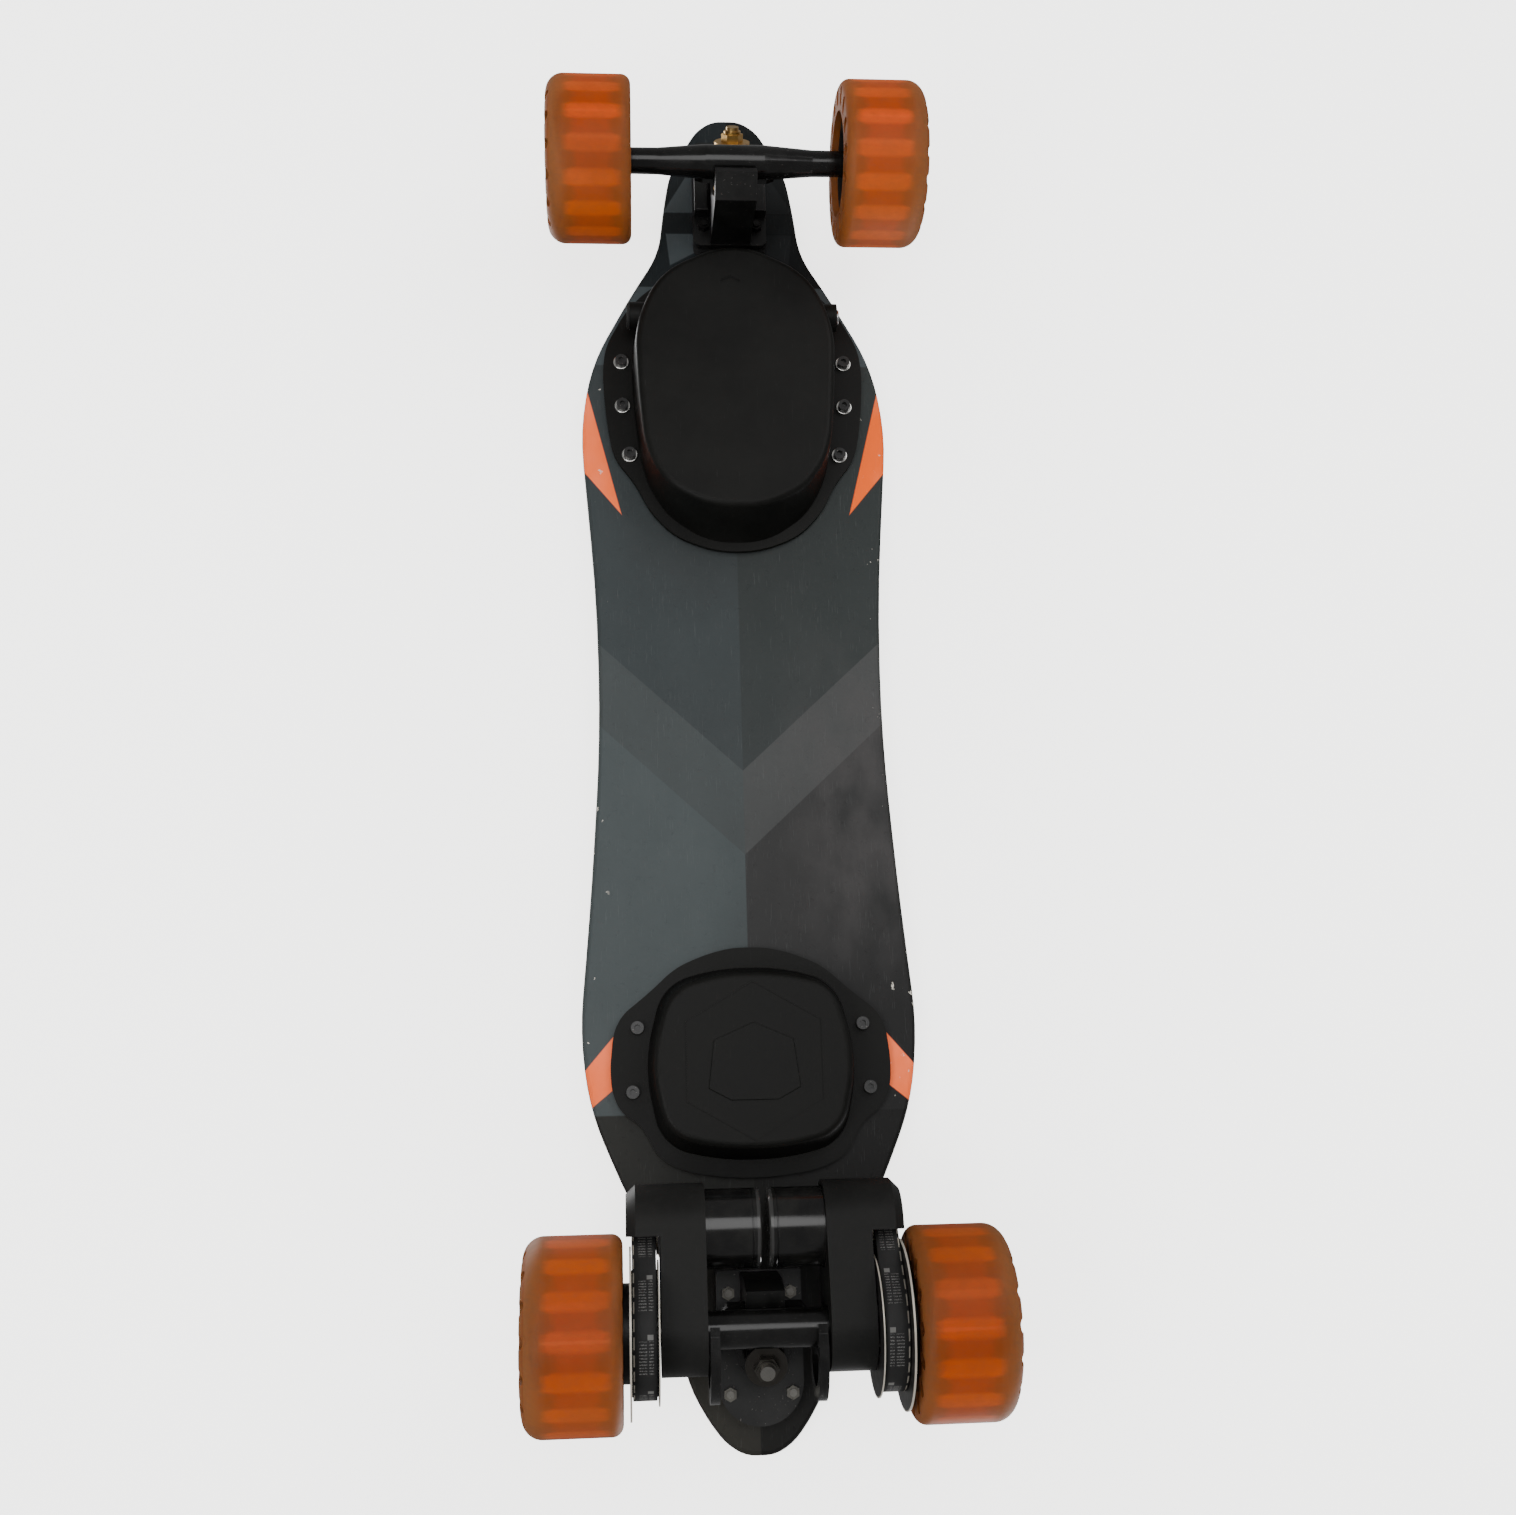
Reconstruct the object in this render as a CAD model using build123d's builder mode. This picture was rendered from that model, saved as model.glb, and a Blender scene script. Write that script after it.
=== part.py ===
from build123d import *
from math import cos, pi, radians, sin, sqrt
import os

# Electric skateboard, standing on its wheels. +X is the nose, +Y the rider's left, +Z up, in mm.
# The floor is z = 0 and the middle of the board is x = y = 0.

os.makedirs("parts", exist_ok=True)

# ---- driving dimensions -------------------------------------------------------------------------
wheel_radius = 60
wheel_width = 62
deck_length = 1012
deck_thickness = 12
grip_thickness = 1
deck_bottom = 144
deck_top = deck_bottom + deck_thickness

riser_thickness = 10
plate_thickness = 6
plate_width = 57
plate_top = deck_bottom - riser_thickness
plate_bottom = plate_top - plate_thickness
bolt_spacing_x = 63.5
bolt_spacing_y = 41.3
bolt_radius = 2.45

axle_radius = 4
bearing_radius = 11
bearing_width = 7
bearing_gap = 10
bearing_start = 13.5  # from the wheel's inner face

front_wheel_y = 77.5  # inner faces of the wheels
rear_wheel_y = 90
front_shoulder_y = 90  # ends of the hangers
rear_shoulder_y = 66

belt_pitch = 5
belt_width = 15
belt_middle_y = 76.8
wheel_teeth = 48
motor_teeth = 16
belt_teeth = 59
tooth_radius = 1.5
tooth_depth = 2.06
tip_inset = 0.57
belt_back = 2.15
tip_clearance = 0.3

motor_radius = 25
motor_inner_y = 2.6
mount_inner_y = 58
mount_outer_y = 65
motor_offset = 61  # from the rear axle towards the middle of the board

flange_thickness = 3.5
gasket_thickness = 1.5
cover_wall = 3
flange_bottom = deck_bottom - gasket_thickness - flange_thickness
battery_face = 98
esc_face = 110

wheel_pitch_radius = wheel_teeth * belt_pitch / (2 * pi)
motor_pitch_radius = motor_teeth * belt_pitch / (2 * pi)
wheel_tip_radius = wheel_pitch_radius - tip_inset
motor_tip_radius = motor_pitch_radius - tip_inset

# Belt centre distance from its length: length = 2c + pi(R + r) + (R - r)^2 / c.
belt_free = belt_teeth * belt_pitch - pi * (wheel_pitch_radius + motor_pitch_radius)
belt_step = wheel_pitch_radius - motor_pitch_radius
centre_distance = (belt_free + sqrt(belt_free**2 - 8 * belt_step**2)) / 4
motor_rise = sqrt(centre_distance**2 - motor_offset**2)


# ---- trucks -------------------------------------------------------------------------------------
class Truck:
    """Where one truck's axle, steering axis and kingpin are.

    u is the distance outboard of the axle. The steering axis rises outboard at the given angle
    from the pivot ball to the ring; the kingpin is square to it and points outboard and down.
    """

    def __init__(self, axle_x, outboard, angle, ring_u, ring_z, reach, bolts_u):
        self.axle_x = axle_x
        self.outboard = outboard
        self.cos = cos(radians(angle))
        self.sin = sin(radians(angle))
        self.ring_u = ring_u
        self.ring_z = ring_z
        self.reach = reach
        self.bolts_x = axle_x + outboard * bolts_u
        self.axle = Vector(axle_x, 0, wheel_radius)
        self.ring = Vector(axle_x + outboard * ring_u, 0, ring_z)
        self.along = Vector(outboard * self.cos, 0, self.sin)
        self.down = Vector(outboard * self.sin, 0, -self.cos)
        self.pivot = self.ring - self.along * reach
        self.side = Plane(origin=(axle_x, 0, 0), x_dir=(outboard, 0, 0), z_dir=(0, -outboard, 0))

    def kingpin_plane(self, distance):
        """Plane square to the kingpin, at a distance down it from the ring's middle."""
        return Plane(self.ring + self.down * distance, x_dir=(0, self.outboard, 0), z_dir=self.down)

    def pivot_plane(self, distance):
        """Plane square to the steering axis, at a distance from the pivot towards the ring."""
        return Plane(self.pivot + self.along * distance, x_dir=(0, 1, 0), z_dir=self.along)

    def side_point(self, along, down):
        """Side-view point at distances along the steering axis and down the kingpin."""
        u = self.ring_u + along * self.cos + down * self.sin
        return (u, self.ring_z + along * self.sin - down * self.cos)


front = Truck(411, 1, angle=43, ring_u=19.5, ring_z=92, reach=56, bolts_u=19.25)
rear = Truck(-420, -1, angle=20, ring_u=18, ring_z=92, reach=37, bolts_u=13.25)
motor_x = rear.axle_x + motor_offset
motor_z = wheel_radius + motor_rise

# Distances down the kingpin from the middle of the ring.
ring_half = 4
upper_washer = (-19, -17)
upper_bushing = (-17, -ring_half)
lower_bushing = (ring_half, 15)
lower_washer = (15, 17)
nut_span = (17, 24)
kingpin_end = 28
kingpin_head = (-34, -28)
kingpin_radius = 4.75
bushing_radius = 12.5
washer_radius = 13.5
cup_radius = 8.5
ball_radius = 6


def hex_radius(across_flats):
    """Corner radius of a hexagon from its width across flats."""
    return across_flats / sqrt(3)


def symmetric_outline(stations):
    """Closed face round (x, half width) corners, every corner eased by an arc.

    An arc takes up most of the shorter side next to its corner, so arcs and short straights
    alternate and meet smoothly.
    """
    left = [Vector(x, half) for x, half in stations]
    right = [Vector(x, -half) for x, half in reversed(stations)]
    corners = left + right
    with BuildLine() as outline:
        arcs = []
        for index, corner in enumerate(corners):
            arriving = corner - corners[index - 1]
            leaving = corners[(index + 1) % len(corners)] - corner
            reach = 0.46 * min(arriving.length, leaving.length)
            start = corner - arriving.normalized() * reach
            end = corner + leaving.normalized() * reach
            arcs.append(TangentArc(start, end, tangent=arriving.normalized()))
        for arc, following in zip(arcs, arcs[1:] + arcs[:1]):
            Line(arc @ 1, following @ 0)
    make_face(outline.line.edges())


def inset_stations(stations, inset):
    """The same outline drawn in on all sides."""
    first = stations[0][0]
    last = stations[-1][0]
    middle = (first + last) / 2
    widest = max(half for _, half in stations)
    length_scale = 1 - 2 * inset / abs(first - last)
    width_scale = 1 - inset / widest
    return [(middle + (x - middle) * length_scale, half * width_scale) for x, half in stations]


def export(solid, label):
    """Name the piece and write its STEP file."""
    solid.label = label
    export_step(solid, f"parts/{label}.step")


# ---- deck ---------------------------------------------------------------------------------------
deck_stations = [
    (deck_length / 2, 11),
    (497, 24),
    (480, 34),
    (456, 46.5),
    (423, 52),
    (385, 56),
    (350, 77),
    (289, 109),
    (232, 118),
    (94, 106),
    (-13, 104),
    (-131, 111),
    (-225, 119),
    (-278, 112.5),
    (-336, 88),
    (-385, 61),
    (-430, 54),
    (-462, 46.5),
    (-484, 34),
    (-498, 23),
    (-deck_length / 2, 10),
]

battery_screws = [(286.5, 86.1), (249.7, 85.3), (209.2, 80.1)]
esc_screws = [(-223.7, 79), (-267.8, 82.5)]
screw_radius = 2.5
screw_depth = 8
truck_bolts_x = [front.bolts_x, rear.bolts_x]


def both_sides(points, z):
    """Locations at the points and at their mirror images across the middle line."""
    return Locations(*[(x, side * y, z) for x, y in points for side in (1, -1)])


def truck_bolt_places(z):
    """The four mounting bolts of each truck."""
    half_x = bolt_spacing_x / 2
    half_y = bolt_spacing_y / 2
    xs = [x + end * half_x for x in truck_bolts_x for end in (1, -1)]
    return Locations(*[(x, side * half_y, z) for x in xs for side in (1, -1)])


with BuildPart() as deck:
    with BuildSketch(Plane.XY.offset(deck_bottom)):
        symmetric_outline(deck_stations)
    extrude(amount=deck_thickness)
    fillet(deck.faces().sort_by(Axis.Z)[0].edges(), 3)
    fillet(deck.faces().sort_by(Axis.Z)[-1].edges(), 2)
    with truck_bolt_places(deck_top):
        CounterSinkHole(bolt_radius + 0.1, 5.15)
    with both_sides(battery_screws + esc_screws, deck_bottom):
        Cylinder(
            screw_radius + 0.02,
            screw_depth + 1,
            align=(Align.CENTER, Align.CENTER, Align.MIN),
            mode=Mode.SUBTRACT,
        )
export(deck.part, "deck")

with BuildPart() as grip_tape:
    with BuildSketch(Plane.XY.offset(deck_top)):
        symmetric_outline(inset_stations(deck_stations, 4))
        with truck_bolt_places(0):
            Circle(5.6, mode=Mode.SUBTRACT)
    extrude(amount=grip_thickness)
export(grip_tape.part, "grip_tape")

# ---- battery box --------------------------------------------------------------------------------
battery_flange_stations = [
    (375, 14),
    (367, 32),
    (351, 63),
    (331, 82),
    (300, 98),
    (279, 100.5),
    (243, 98.5),
    (207, 92.5),
    (186, 76),
    (164, 66),
    (143, 47),
    (131, 16),
]
battery_base_stations = [
    (369, 14), (347, 60), (300, 79), (246, 76.8), (206, 72.2), (184, 66.5), (160, 53), (138, 22)
]
battery_face_stations = [
    (364, 13), (343, 56), (300, 75.5), (246, 73.5), (206, 70), (186, 63.5), (166, 49), (152, 20)
]

esc_flange_stations = [
    (-168.6, 12),
    (-173, 30),
    (-182, 52),
    (-199, 70),
    (-214, 89),
    (-226, 95.5),
    (-250, 98),
    (-267, 97),
    (-281, 91),
    (-292, 75),
    (-313, 65.5),
    (-323, 44),
    (-327, 12),
]
esc_base_stations = [(-183, 22), (-194, 61), (-250, 75), (-305, 63), (-315, 22)]
esc_face_stations = [(-190, 21), (-200, 57), (-250, 71), (-299, 59), (-308, 21)]


def cover_shell(flange, base, face, face_z):
    """Thin box with a draught, open towards the deck, on a flat flange."""
    with BuildPart() as shell:
        with BuildSketch(Plane.XY.offset(flange_bottom)):
            symmetric_outline(base)
        with BuildSketch(Plane.XY.offset(face_z)):
            symmetric_outline(face)
        loft()
        fillet(shell.faces().sort_by(Axis.Z)[0].edges(), 5)
        with BuildSketch(Plane.XY.offset(flange_bottom)):
            symmetric_outline(flange)
        extrude(amount=flange_thickness)
        with BuildSketch(Plane.XY.offset(deck_bottom - gasket_thickness)):
            symmetric_outline(inset_stations(base, cover_wall))
        with BuildSketch(Plane.XY.offset(face_z + cover_wall)):
            symmetric_outline(inset_stations(face, cover_wall + 2))
        loft(mode=Mode.SUBTRACT)
    return shell.part


def gasket(flange, base, screws):
    """Flat seal between a cover's flange and the deck."""
    with BuildPart() as seal:
        with BuildSketch(Plane.XY.offset(deck_bottom - gasket_thickness)):
            symmetric_outline(inset_stations(flange, 0.6))
            with both_sides(screws, 0):
                Circle(screw_radius + 0.2, mode=Mode.SUBTRACT)
        extrude(amount=gasket_thickness)
        with BuildSketch(Plane.XY.offset(deck_bottom - gasket_thickness)):
            symmetric_outline(inset_stations(base, cover_wall))
        extrude(amount=gasket_thickness, mode=Mode.SUBTRACT)
    return seal.part


def clear_screw_holes(screws):
    """Clearance holes for a cover's screws, through the flange."""
    with both_sides(screws, flange_bottom):
        Cylinder(screw_radius + 0.2, 4 * flange_thickness, mode=Mode.SUBTRACT)


control_x = 316
control_z = 120
control_y = 79.5
button_radius = 6
button_travel = 1.2
port_radius = 7

with BuildPart() as battery_cover:
    add(
        cover_shell(
            battery_flange_stations, battery_base_stations, battery_face_stations, battery_face
        )
    )
    clear_screw_holes(battery_screws)
    # Bosses for the power button on the left and the charge port on the right.
    for side in (1, -1):
        boss = Plane((control_x, side * 60, control_z), x_dir=(1, 0, 0), z_dir=(0, side, 0))
        with BuildSketch(boss):
            Circle(10.5)
        extrude(amount=control_y - 60)
        with BuildSketch(boss.offset(-2)):
            Circle(8.5)
        extrude(amount=control_y - 62, mode=Mode.SUBTRACT)
    with Locations(Plane((control_x, control_y, control_z), z_dir=(0, 1, 0))):
        Cylinder(button_radius + 0.1, 12, mode=Mode.SUBTRACT)
    with Locations(Plane((control_x, -control_y, control_z), z_dir=(0, -1, 0))):
        Cylinder(port_radius + 0.1, 12, mode=Mode.SUBTRACT)
export(battery_cover.part, "battery_cover")

cell_radius = 9.15
cell_pitch = 18.4
cell_length = 65
pack_x = 188
pack_z = 102.5

with BuildPart() as battery_pack:
    with BuildSketch(Plane.YZ.offset(pack_x)):
        with Locations((0, pack_z + cell_pitch)):
            Rectangle(5 * cell_pitch, 2 * cell_pitch - 4)
            Rectangle(6 * cell_pitch - 3, cell_pitch)
            with GridLocations(cell_pitch, cell_pitch, 6, 2):
                Circle(cell_radius)
    extrude(amount=2 * cell_length + 1)
    chamfer(battery_pack.faces().sort_by(Axis.X)[-1].edges(), 0.8)
export(battery_pack.part, "battery_pack")

# ---- speed-controller box -----------------------------------------------------------------------
shield_points = [
    (-224.4, 0),
    (-236, 27),
    (-268, 31),
    (-276, 16),
    (-276, -16),
    (-268, -31),
    (-236, -27),
]
groove_radius = 54
groove_centre_x = -250

with BuildPart() as esc_cover:
    add(cover_shell(esc_flange_stations, esc_base_stations, esc_face_stations, esc_face))
    clear_screw_holes(esc_screws)
    # Raised shield and a shallow hexagon groove around it.
    with BuildSketch(Plane.XY.offset(esc_face - 1)):
        with BuildLine():
            Polyline(*shield_points, close=True)
        make_face()
    extrude(amount=1.2, taper=-20)
    with BuildSketch(Plane.XY.offset(esc_face - 0.5)):
        with Locations((groove_centre_x, 0)):
            RegularPolygon(groove_radius, 6)
            RegularPolygon(groove_radius - 0.9, 6, mode=Mode.SUBTRACT)
    extrude(amount=0.9, mode=Mode.SUBTRACT)
export(esc_cover.part, "esc_cover")

with BuildPart() as cover_gaskets:
    add(gasket(battery_flange_stations, battery_base_stations, battery_screws))
    add(gasket(esc_flange_stations, esc_base_stations, esc_screws))
export(cover_gaskets.part, "cover_gaskets")

with BuildPart() as esc_board:
    with Locations((-250, 0, 120)):
        Box(84, 96, 1.6)
    with Locations((-250, 0, 116.1)):
        with GridLocations(72, 84, 2, 2):
            Cylinder(3, 6.2)
    with Locations((-232, 0, 124)):
        with GridLocations(12, 11, 3, 7):
            Box(9, 7, 6.6)
    with Locations((-276, 0, 127)):
        with GridLocations(13, 14, 2, 5):
            Cylinder(5, 13)
export(esc_board.part, "esc_board")

# ---- cover screws -------------------------------------------------------------------------------
cover_washer_thickness = 1.5
cover_washer_radius = 6.2
head_radius = 4.5
head_height = 4


def cover_screw(head_top):
    """Socket cap screw pointing up into the deck, its head's upper face at the height given."""
    up = (Align.CENTER, Align.CENTER, Align.MIN)
    hang = (Align.CENTER, Align.CENTER, Align.MAX)
    with BuildPart() as screw:
        with Locations((0, 0, head_top)):
            Cylinder(head_radius, head_height, align=hang)
            Cylinder(screw_radius, deck_bottom + screw_depth - head_top, align=up)
        with BuildSketch(Plane.XY.offset(head_top - head_height)):
            RegularPolygon(hex_radius(4), 6)
        extrude(amount=2, mode=Mode.SUBTRACT)
    return screw.part


with BuildPart() as cover_screws:
    with both_sides(battery_screws, 0):
        add(cover_screw(flange_bottom - cover_washer_thickness))
    with both_sides(esc_screws, 0):
        add(cover_screw(flange_bottom))
export(cover_screws.part, "cover_screws")

with BuildPart() as cover_washers:
    with BuildSketch(Plane.XY.offset(flange_bottom - cover_washer_thickness)):
        with both_sides(battery_screws, 0):
            Circle(cover_washer_radius)
            Circle(screw_radius + 0.15, mode=Mode.SUBTRACT)
    extrude(amount=cover_washer_thickness)
    outer_rims = cover_washers.faces().group_by(Axis.Z)[0].edges().filter_by(
        lambda rim: rim.radius > head_radius
    )
    fillet(outer_rims, 0.7)
export(cover_washers.part, "cover_washers")

# ---- power button, charge port and its cap ------------------------------------------------------
with BuildPart() as power_button:
    with Locations(Plane((control_x, control_y - 4, control_z), z_dir=(0, 1, 0))):
        Cylinder(button_radius, 6, align=(Align.CENTER, Align.CENTER, Align.MIN))
        Cylinder(button_radius + 1, 1, align=(Align.CENTER, Align.CENTER, Align.MAX))
    fillet(power_button.faces().sort_by(Axis.Y)[-1].edges(), 0.8)
export(power_button.part, "power_button")

with BuildPart() as charge_port:
    with Locations(Plane((control_x, -control_y, control_z), z_dir=(0, 1, 0))):
        Cylinder(port_radius, 14, align=(Align.CENTER, Align.CENTER, Align.MIN))
        Cylinder(4.5, 11, align=(Align.CENTER, Align.CENTER, Align.MIN), mode=Mode.SUBTRACT)
        Cylinder(1.2, 11, align=(Align.CENTER, Align.CENTER, Align.MIN))
export(charge_port.part, "charge_port")

cap_hinge_z = control_z + 12

with BuildPart() as charge_cap:
    outside = Plane((control_x, -control_y - 0.2, control_z), x_dir=(1, 0, 0), z_dir=(0, -1, 0))
    with BuildSketch(outside):
        Circle(9.5)
        with Locations((0, (cap_hinge_z - control_z) / 2)):
            Rectangle(9, cap_hinge_z - control_z)
    extrude(amount=1.8)
    with BuildSketch(outside):
        Circle(4)
        Circle(1.8, mode=Mode.SUBTRACT)
    extrude(amount=-1.5)
export(charge_cap.part, "charge_cap")

# ---- risers, baseplates and pivot cups ----------------------------------------------------------
front_plate_span = (-28.5, 63)
rear_plate_span = (-33, 65.8)


def plate_outline(truck, span, round_end):
    """Baseplate outline in plan, its outboard end round or square with eased corners."""
    inboard = truck.axle_x + truck.outboard * span[0]
    outboard = truck.axle_x + truck.outboard * span[1]
    half = plate_width / 2
    if round_end:
        straight = outboard - truck.outboard * half
        with Locations(((inboard + straight) / 2, 0)):
            Rectangle(abs(straight - inboard), plate_width)
        with Locations((straight, 0)):
            Circle(half)
    else:
        with Locations(((inboard + outboard) / 2, 0)):
            RectangleRounded(abs(outboard - inboard), plate_width, 6)
    with Locations((truck.bolts_x, 0)):
        with GridLocations(bolt_spacing_x, bolt_spacing_y, 2, 2):
            Circle(bolt_radius + 0.2, mode=Mode.SUBTRACT)


with BuildPart() as truck_risers:
    with BuildSketch(Plane.XY.offset(plate_top)):
        plate_outline(front, front_plate_span, False)
    extrude(amount=riser_thickness)
    with BuildSketch(Plane.XY.offset(plate_top)):
        plate_outline(rear, rear_plate_span, True)
    extrude(amount=riser_thickness)
export(truck_risers.part, "truck_risers")


def baseplate(truck, span, round_end, housing, tower_half, boss_end):
    """Plate with the kingpin's sloping seat and the pivot housing in one casting."""
    with BuildPart() as casting:
        with BuildSketch(Plane.XY.offset(plate_bottom)):
            plate_outline(truck, span, round_end)
        extrude(amount=plate_thickness)
        mouth = 2 - truck.reach
        back = -truck.reach - 9
        with BuildSketch(truck.side):
            with BuildLine():
                Polyline(
                    (span[0] + 1, plate_bottom),
                    truck.side_point(back, -housing),
                    truck.side_point(back, housing),
                    truck.side_point(mouth, housing),
                    truck.side_point(mouth, -housing),
                    truck.side_point(-14, upper_washer[0]),
                    truck.side_point(14, upper_washer[0]),
                    (boss_end, plate_bottom),
                    close=True,
                )
            make_face()
        extrude(amount=tower_half, both=True)
        # Cup socket, kingpin hole and the pocket for the kingpin's head.
        with BuildSketch(truck.pivot_plane(2)):
            Circle(cup_radius + 0.02)
        extrude(amount=-8.5, mode=Mode.SUBTRACT)
        with BuildSketch(truck.kingpin_plane(upper_washer[0] + 1)):
            Circle(kingpin_radius + 0.05)
        extrude(amount=-12, mode=Mode.SUBTRACT)
        with BuildSketch(truck.kingpin_plane(kingpin_head[1])):
            Circle(hex_radius(13) + 0.1)
        extrude(amount=-40, mode=Mode.SUBTRACT)
    return casting.part


with BuildPart() as front_baseplate:
    add(baseplate(front, front_plate_span, False, housing=10.5, tower_half=15.5, boss_end=30.2))
    # Raised side rails between the mounting bolts.
    for side in (1, -1):
        with Locations((front.axle_x + 19, side * 22.4, plate_bottom)):
            Box(46, 11, 11, align=(Align.CENTER, Align.CENTER, Align.MAX))
    rail_faces = front_baseplate.faces().filter_by(
        lambda face: abs(face.center().Z - (plate_bottom - 11)) < 0.01
    )
    fillet(rail_faces.edges(), 1.5)
export(front_baseplate.part, "front_baseplate")

rear_baseplate = baseplate(
    rear, rear_plate_span, True, housing=9.5, tower_half=12.5, boss_end=30
)
export(rear_baseplate, "rear_baseplate")

with BuildPart() as pivot_cups:
    for truck in (front, rear):
        with BuildSketch(truck.pivot_plane(2)):
            Circle(cup_radius)
        extrude(amount=-8.4)
        with BuildSketch(truck.pivot_plane(0)):
            Circle(ball_radius + 0.06)
        extrude(amount=4, mode=Mode.SUBTRACT)
        with Locations(truck.pivot):
            Sphere(ball_radius + 0.06, mode=Mode.SUBTRACT)
export(pivot_cups.part, "pivot_cups")

# ---- truck bolts and nuts -----------------------------------------------------------------------
nut_height = 5

with BuildPart() as truck_bolts:
    with truck_bolt_places(plate_bottom - nut_height - 1.5):
        Cylinder(
            bolt_radius,
            deck_top - plate_bottom + nut_height + 1.5,
            align=(Align.CENTER, Align.CENTER, Align.MIN),
        )
    with truck_bolt_places(deck_top):
        Cone(bolt_radius, 5, 2.55, align=(Align.CENTER, Align.CENTER, Align.MAX))
    with truck_bolt_places(deck_top):
        Cylinder(
            1.6, 1.6, align=(Align.CENTER, Align.CENTER, Align.MAX), mode=Mode.SUBTRACT
        )
export(truck_bolts.part, "truck_bolts")

with BuildPart() as truck_nuts:
    with BuildSketch(Plane.XY.offset(plate_bottom - nut_height)):
        with truck_bolt_places(0):
            RegularPolygon(hex_radius(8), 6)
            Circle(bolt_radius + 0.02, mode=Mode.SUBTRACT)
    extrude(amount=nut_height)
export(truck_nuts.part, "truck_nuts")

# ---- kingpins, washers, nuts and bushings -------------------------------------------------------
with BuildPart() as kingpins:
    for truck in (front, rear):
        with BuildSketch(truck.kingpin_plane(kingpin_head[0])):
            RegularPolygon(hex_radius(13), 6)
        extrude(amount=kingpin_head[1] - kingpin_head[0])
        with BuildSketch(truck.kingpin_plane(kingpin_head[1])):
            Circle(kingpin_radius)
        extrude(amount=kingpin_end - kingpin_head[1])
export(kingpins.part, "kingpins")

with BuildPart() as kingpin_washers:
    for truck in (front, rear):
        for span in (upper_washer, lower_washer):
            with BuildSketch(truck.kingpin_plane(span[0])):
                Circle(washer_radius)
                Circle(kingpin_radius + 0.1, mode=Mode.SUBTRACT)
            extrude(amount=span[1] - span[0])
export(kingpin_washers.part, "kingpin_washers")

with BuildPart() as kingpin_nuts:
    for truck in (front, rear):
        with BuildSketch(truck.kingpin_plane(nut_span[0])):
            RegularPolygon(hex_radius(14.3), 6)
        extrude(amount=nut_span[1] - nut_span[0] - 1)
        with BuildSketch(truck.kingpin_plane(nut_span[1] - 1)):
            Circle(6.4)
        extrude(amount=2)
        with BuildSketch(truck.kingpin_plane(nut_span[0])):
            Circle(kingpin_radius + 0.02)
        extrude(amount=nut_span[1] - nut_span[0] + 2, mode=Mode.SUBTRACT)
export(kingpin_nuts.part, "kingpin_nuts")


def bushing(truck, span, end_radius):
    """Urethane bushing, drawn in towards its free end."""
    with BuildSketch(truck.kingpin_plane(span[0])) as wide_end:
        Circle(bushing_radius)
    with BuildSketch(truck.kingpin_plane(span[1])) as narrow_end:
        Circle(end_radius)
    loft([wide_end.sketch, narrow_end.sketch])
    with BuildSketch(truck.kingpin_plane(span[0])) as hole:
        Circle(kingpin_radius + 0.1)
    extrude(hole.sketch, amount=span[1] - span[0], mode=Mode.SUBTRACT)


with BuildPart() as front_bushings:
    bushing(front, upper_bushing, bushing_radius)
    bushing(front, lower_bushing, bushing_radius - 1.5)
export(front_bushings.part, "front_bushings")

with BuildPart() as rear_bushings:
    bushing(rear, upper_bushing, bushing_radius)
    bushing(rear, lower_bushing, bushing_radius - 1.5)
export(rear_bushings.part, "rear_bushings")


# ---- hangers ------------------------------------------------------------------------------------
def hanger(truck, bar_profile, gusset_span, gusset_half, foot):
    """Cast hanger: bar over the axle, yoke up to the bushing ring, and the pivot ball's stem."""
    with BuildPart() as casting:
        lengthways = Plane(truck.axle, x_dir=(0, 1, 0), z_dir=(0, 0, 1))
        with BuildSketch(lengthways):
            with BuildLine():
                Polyline(*bar_profile, close=True)
            make_face()
        revolve(axis=Axis(truck.axle, (0, 1, 0)))
        # Yoke in the plane of the steering axis, wide at the bar and narrow at the ring.
        with BuildSketch(truck.kingpin_plane(0)):
            Circle(16)
            with BuildLine():
                Polyline(
                    (16, 0), (30, -foot), (24, -foot - 8), (-24, -foot - 8), (-30, -foot), (-16, 0),
                    close=True,
                )
            make_face()
        extrude(amount=ring_half, both=True)
        with BuildSketch(truck.side):
            with BuildLine():
                Polyline(
                    truck.side_point(-gusset_span[0], 0),
                    truck.side_point(-gusset_span[1], 0),
                    (-8, wheel_radius - 2),
                    (8, wheel_radius - 2),
                    close=True,
                )
            make_face()
        extrude(amount=gusset_half, both=True)
        with BuildSketch(truck.pivot_plane(0)):
            Circle(5)
        with BuildSketch(truck.pivot_plane(truck.reach - foot)):
            Circle(7.5)
        loft()
        with Locations(truck.pivot):
            Sphere(ball_radius)
        with Locations(Plane(truck.ring, z_dir=truck.down)):
            Cylinder(kingpin_radius + 4, 40, mode=Mode.SUBTRACT)
        with Locations(Plane(truck.axle, z_dir=(0, 1, 0))):
            Cylinder(axle_radius + 0.05, 200, mode=Mode.SUBTRACT)
    return casting.part


def half_to_full(half_profile):
    """Bar profile of (distance from the middle, radius), mirrored and closed on the axis."""
    right = [(y, radius) for y, radius in half_profile]
    left = [(-y, radius) for y, radius in reversed(half_profile)]
    return [(-half_profile[-1][0], 0)] + left + right + [(half_profile[-1][0], 0)]


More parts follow.
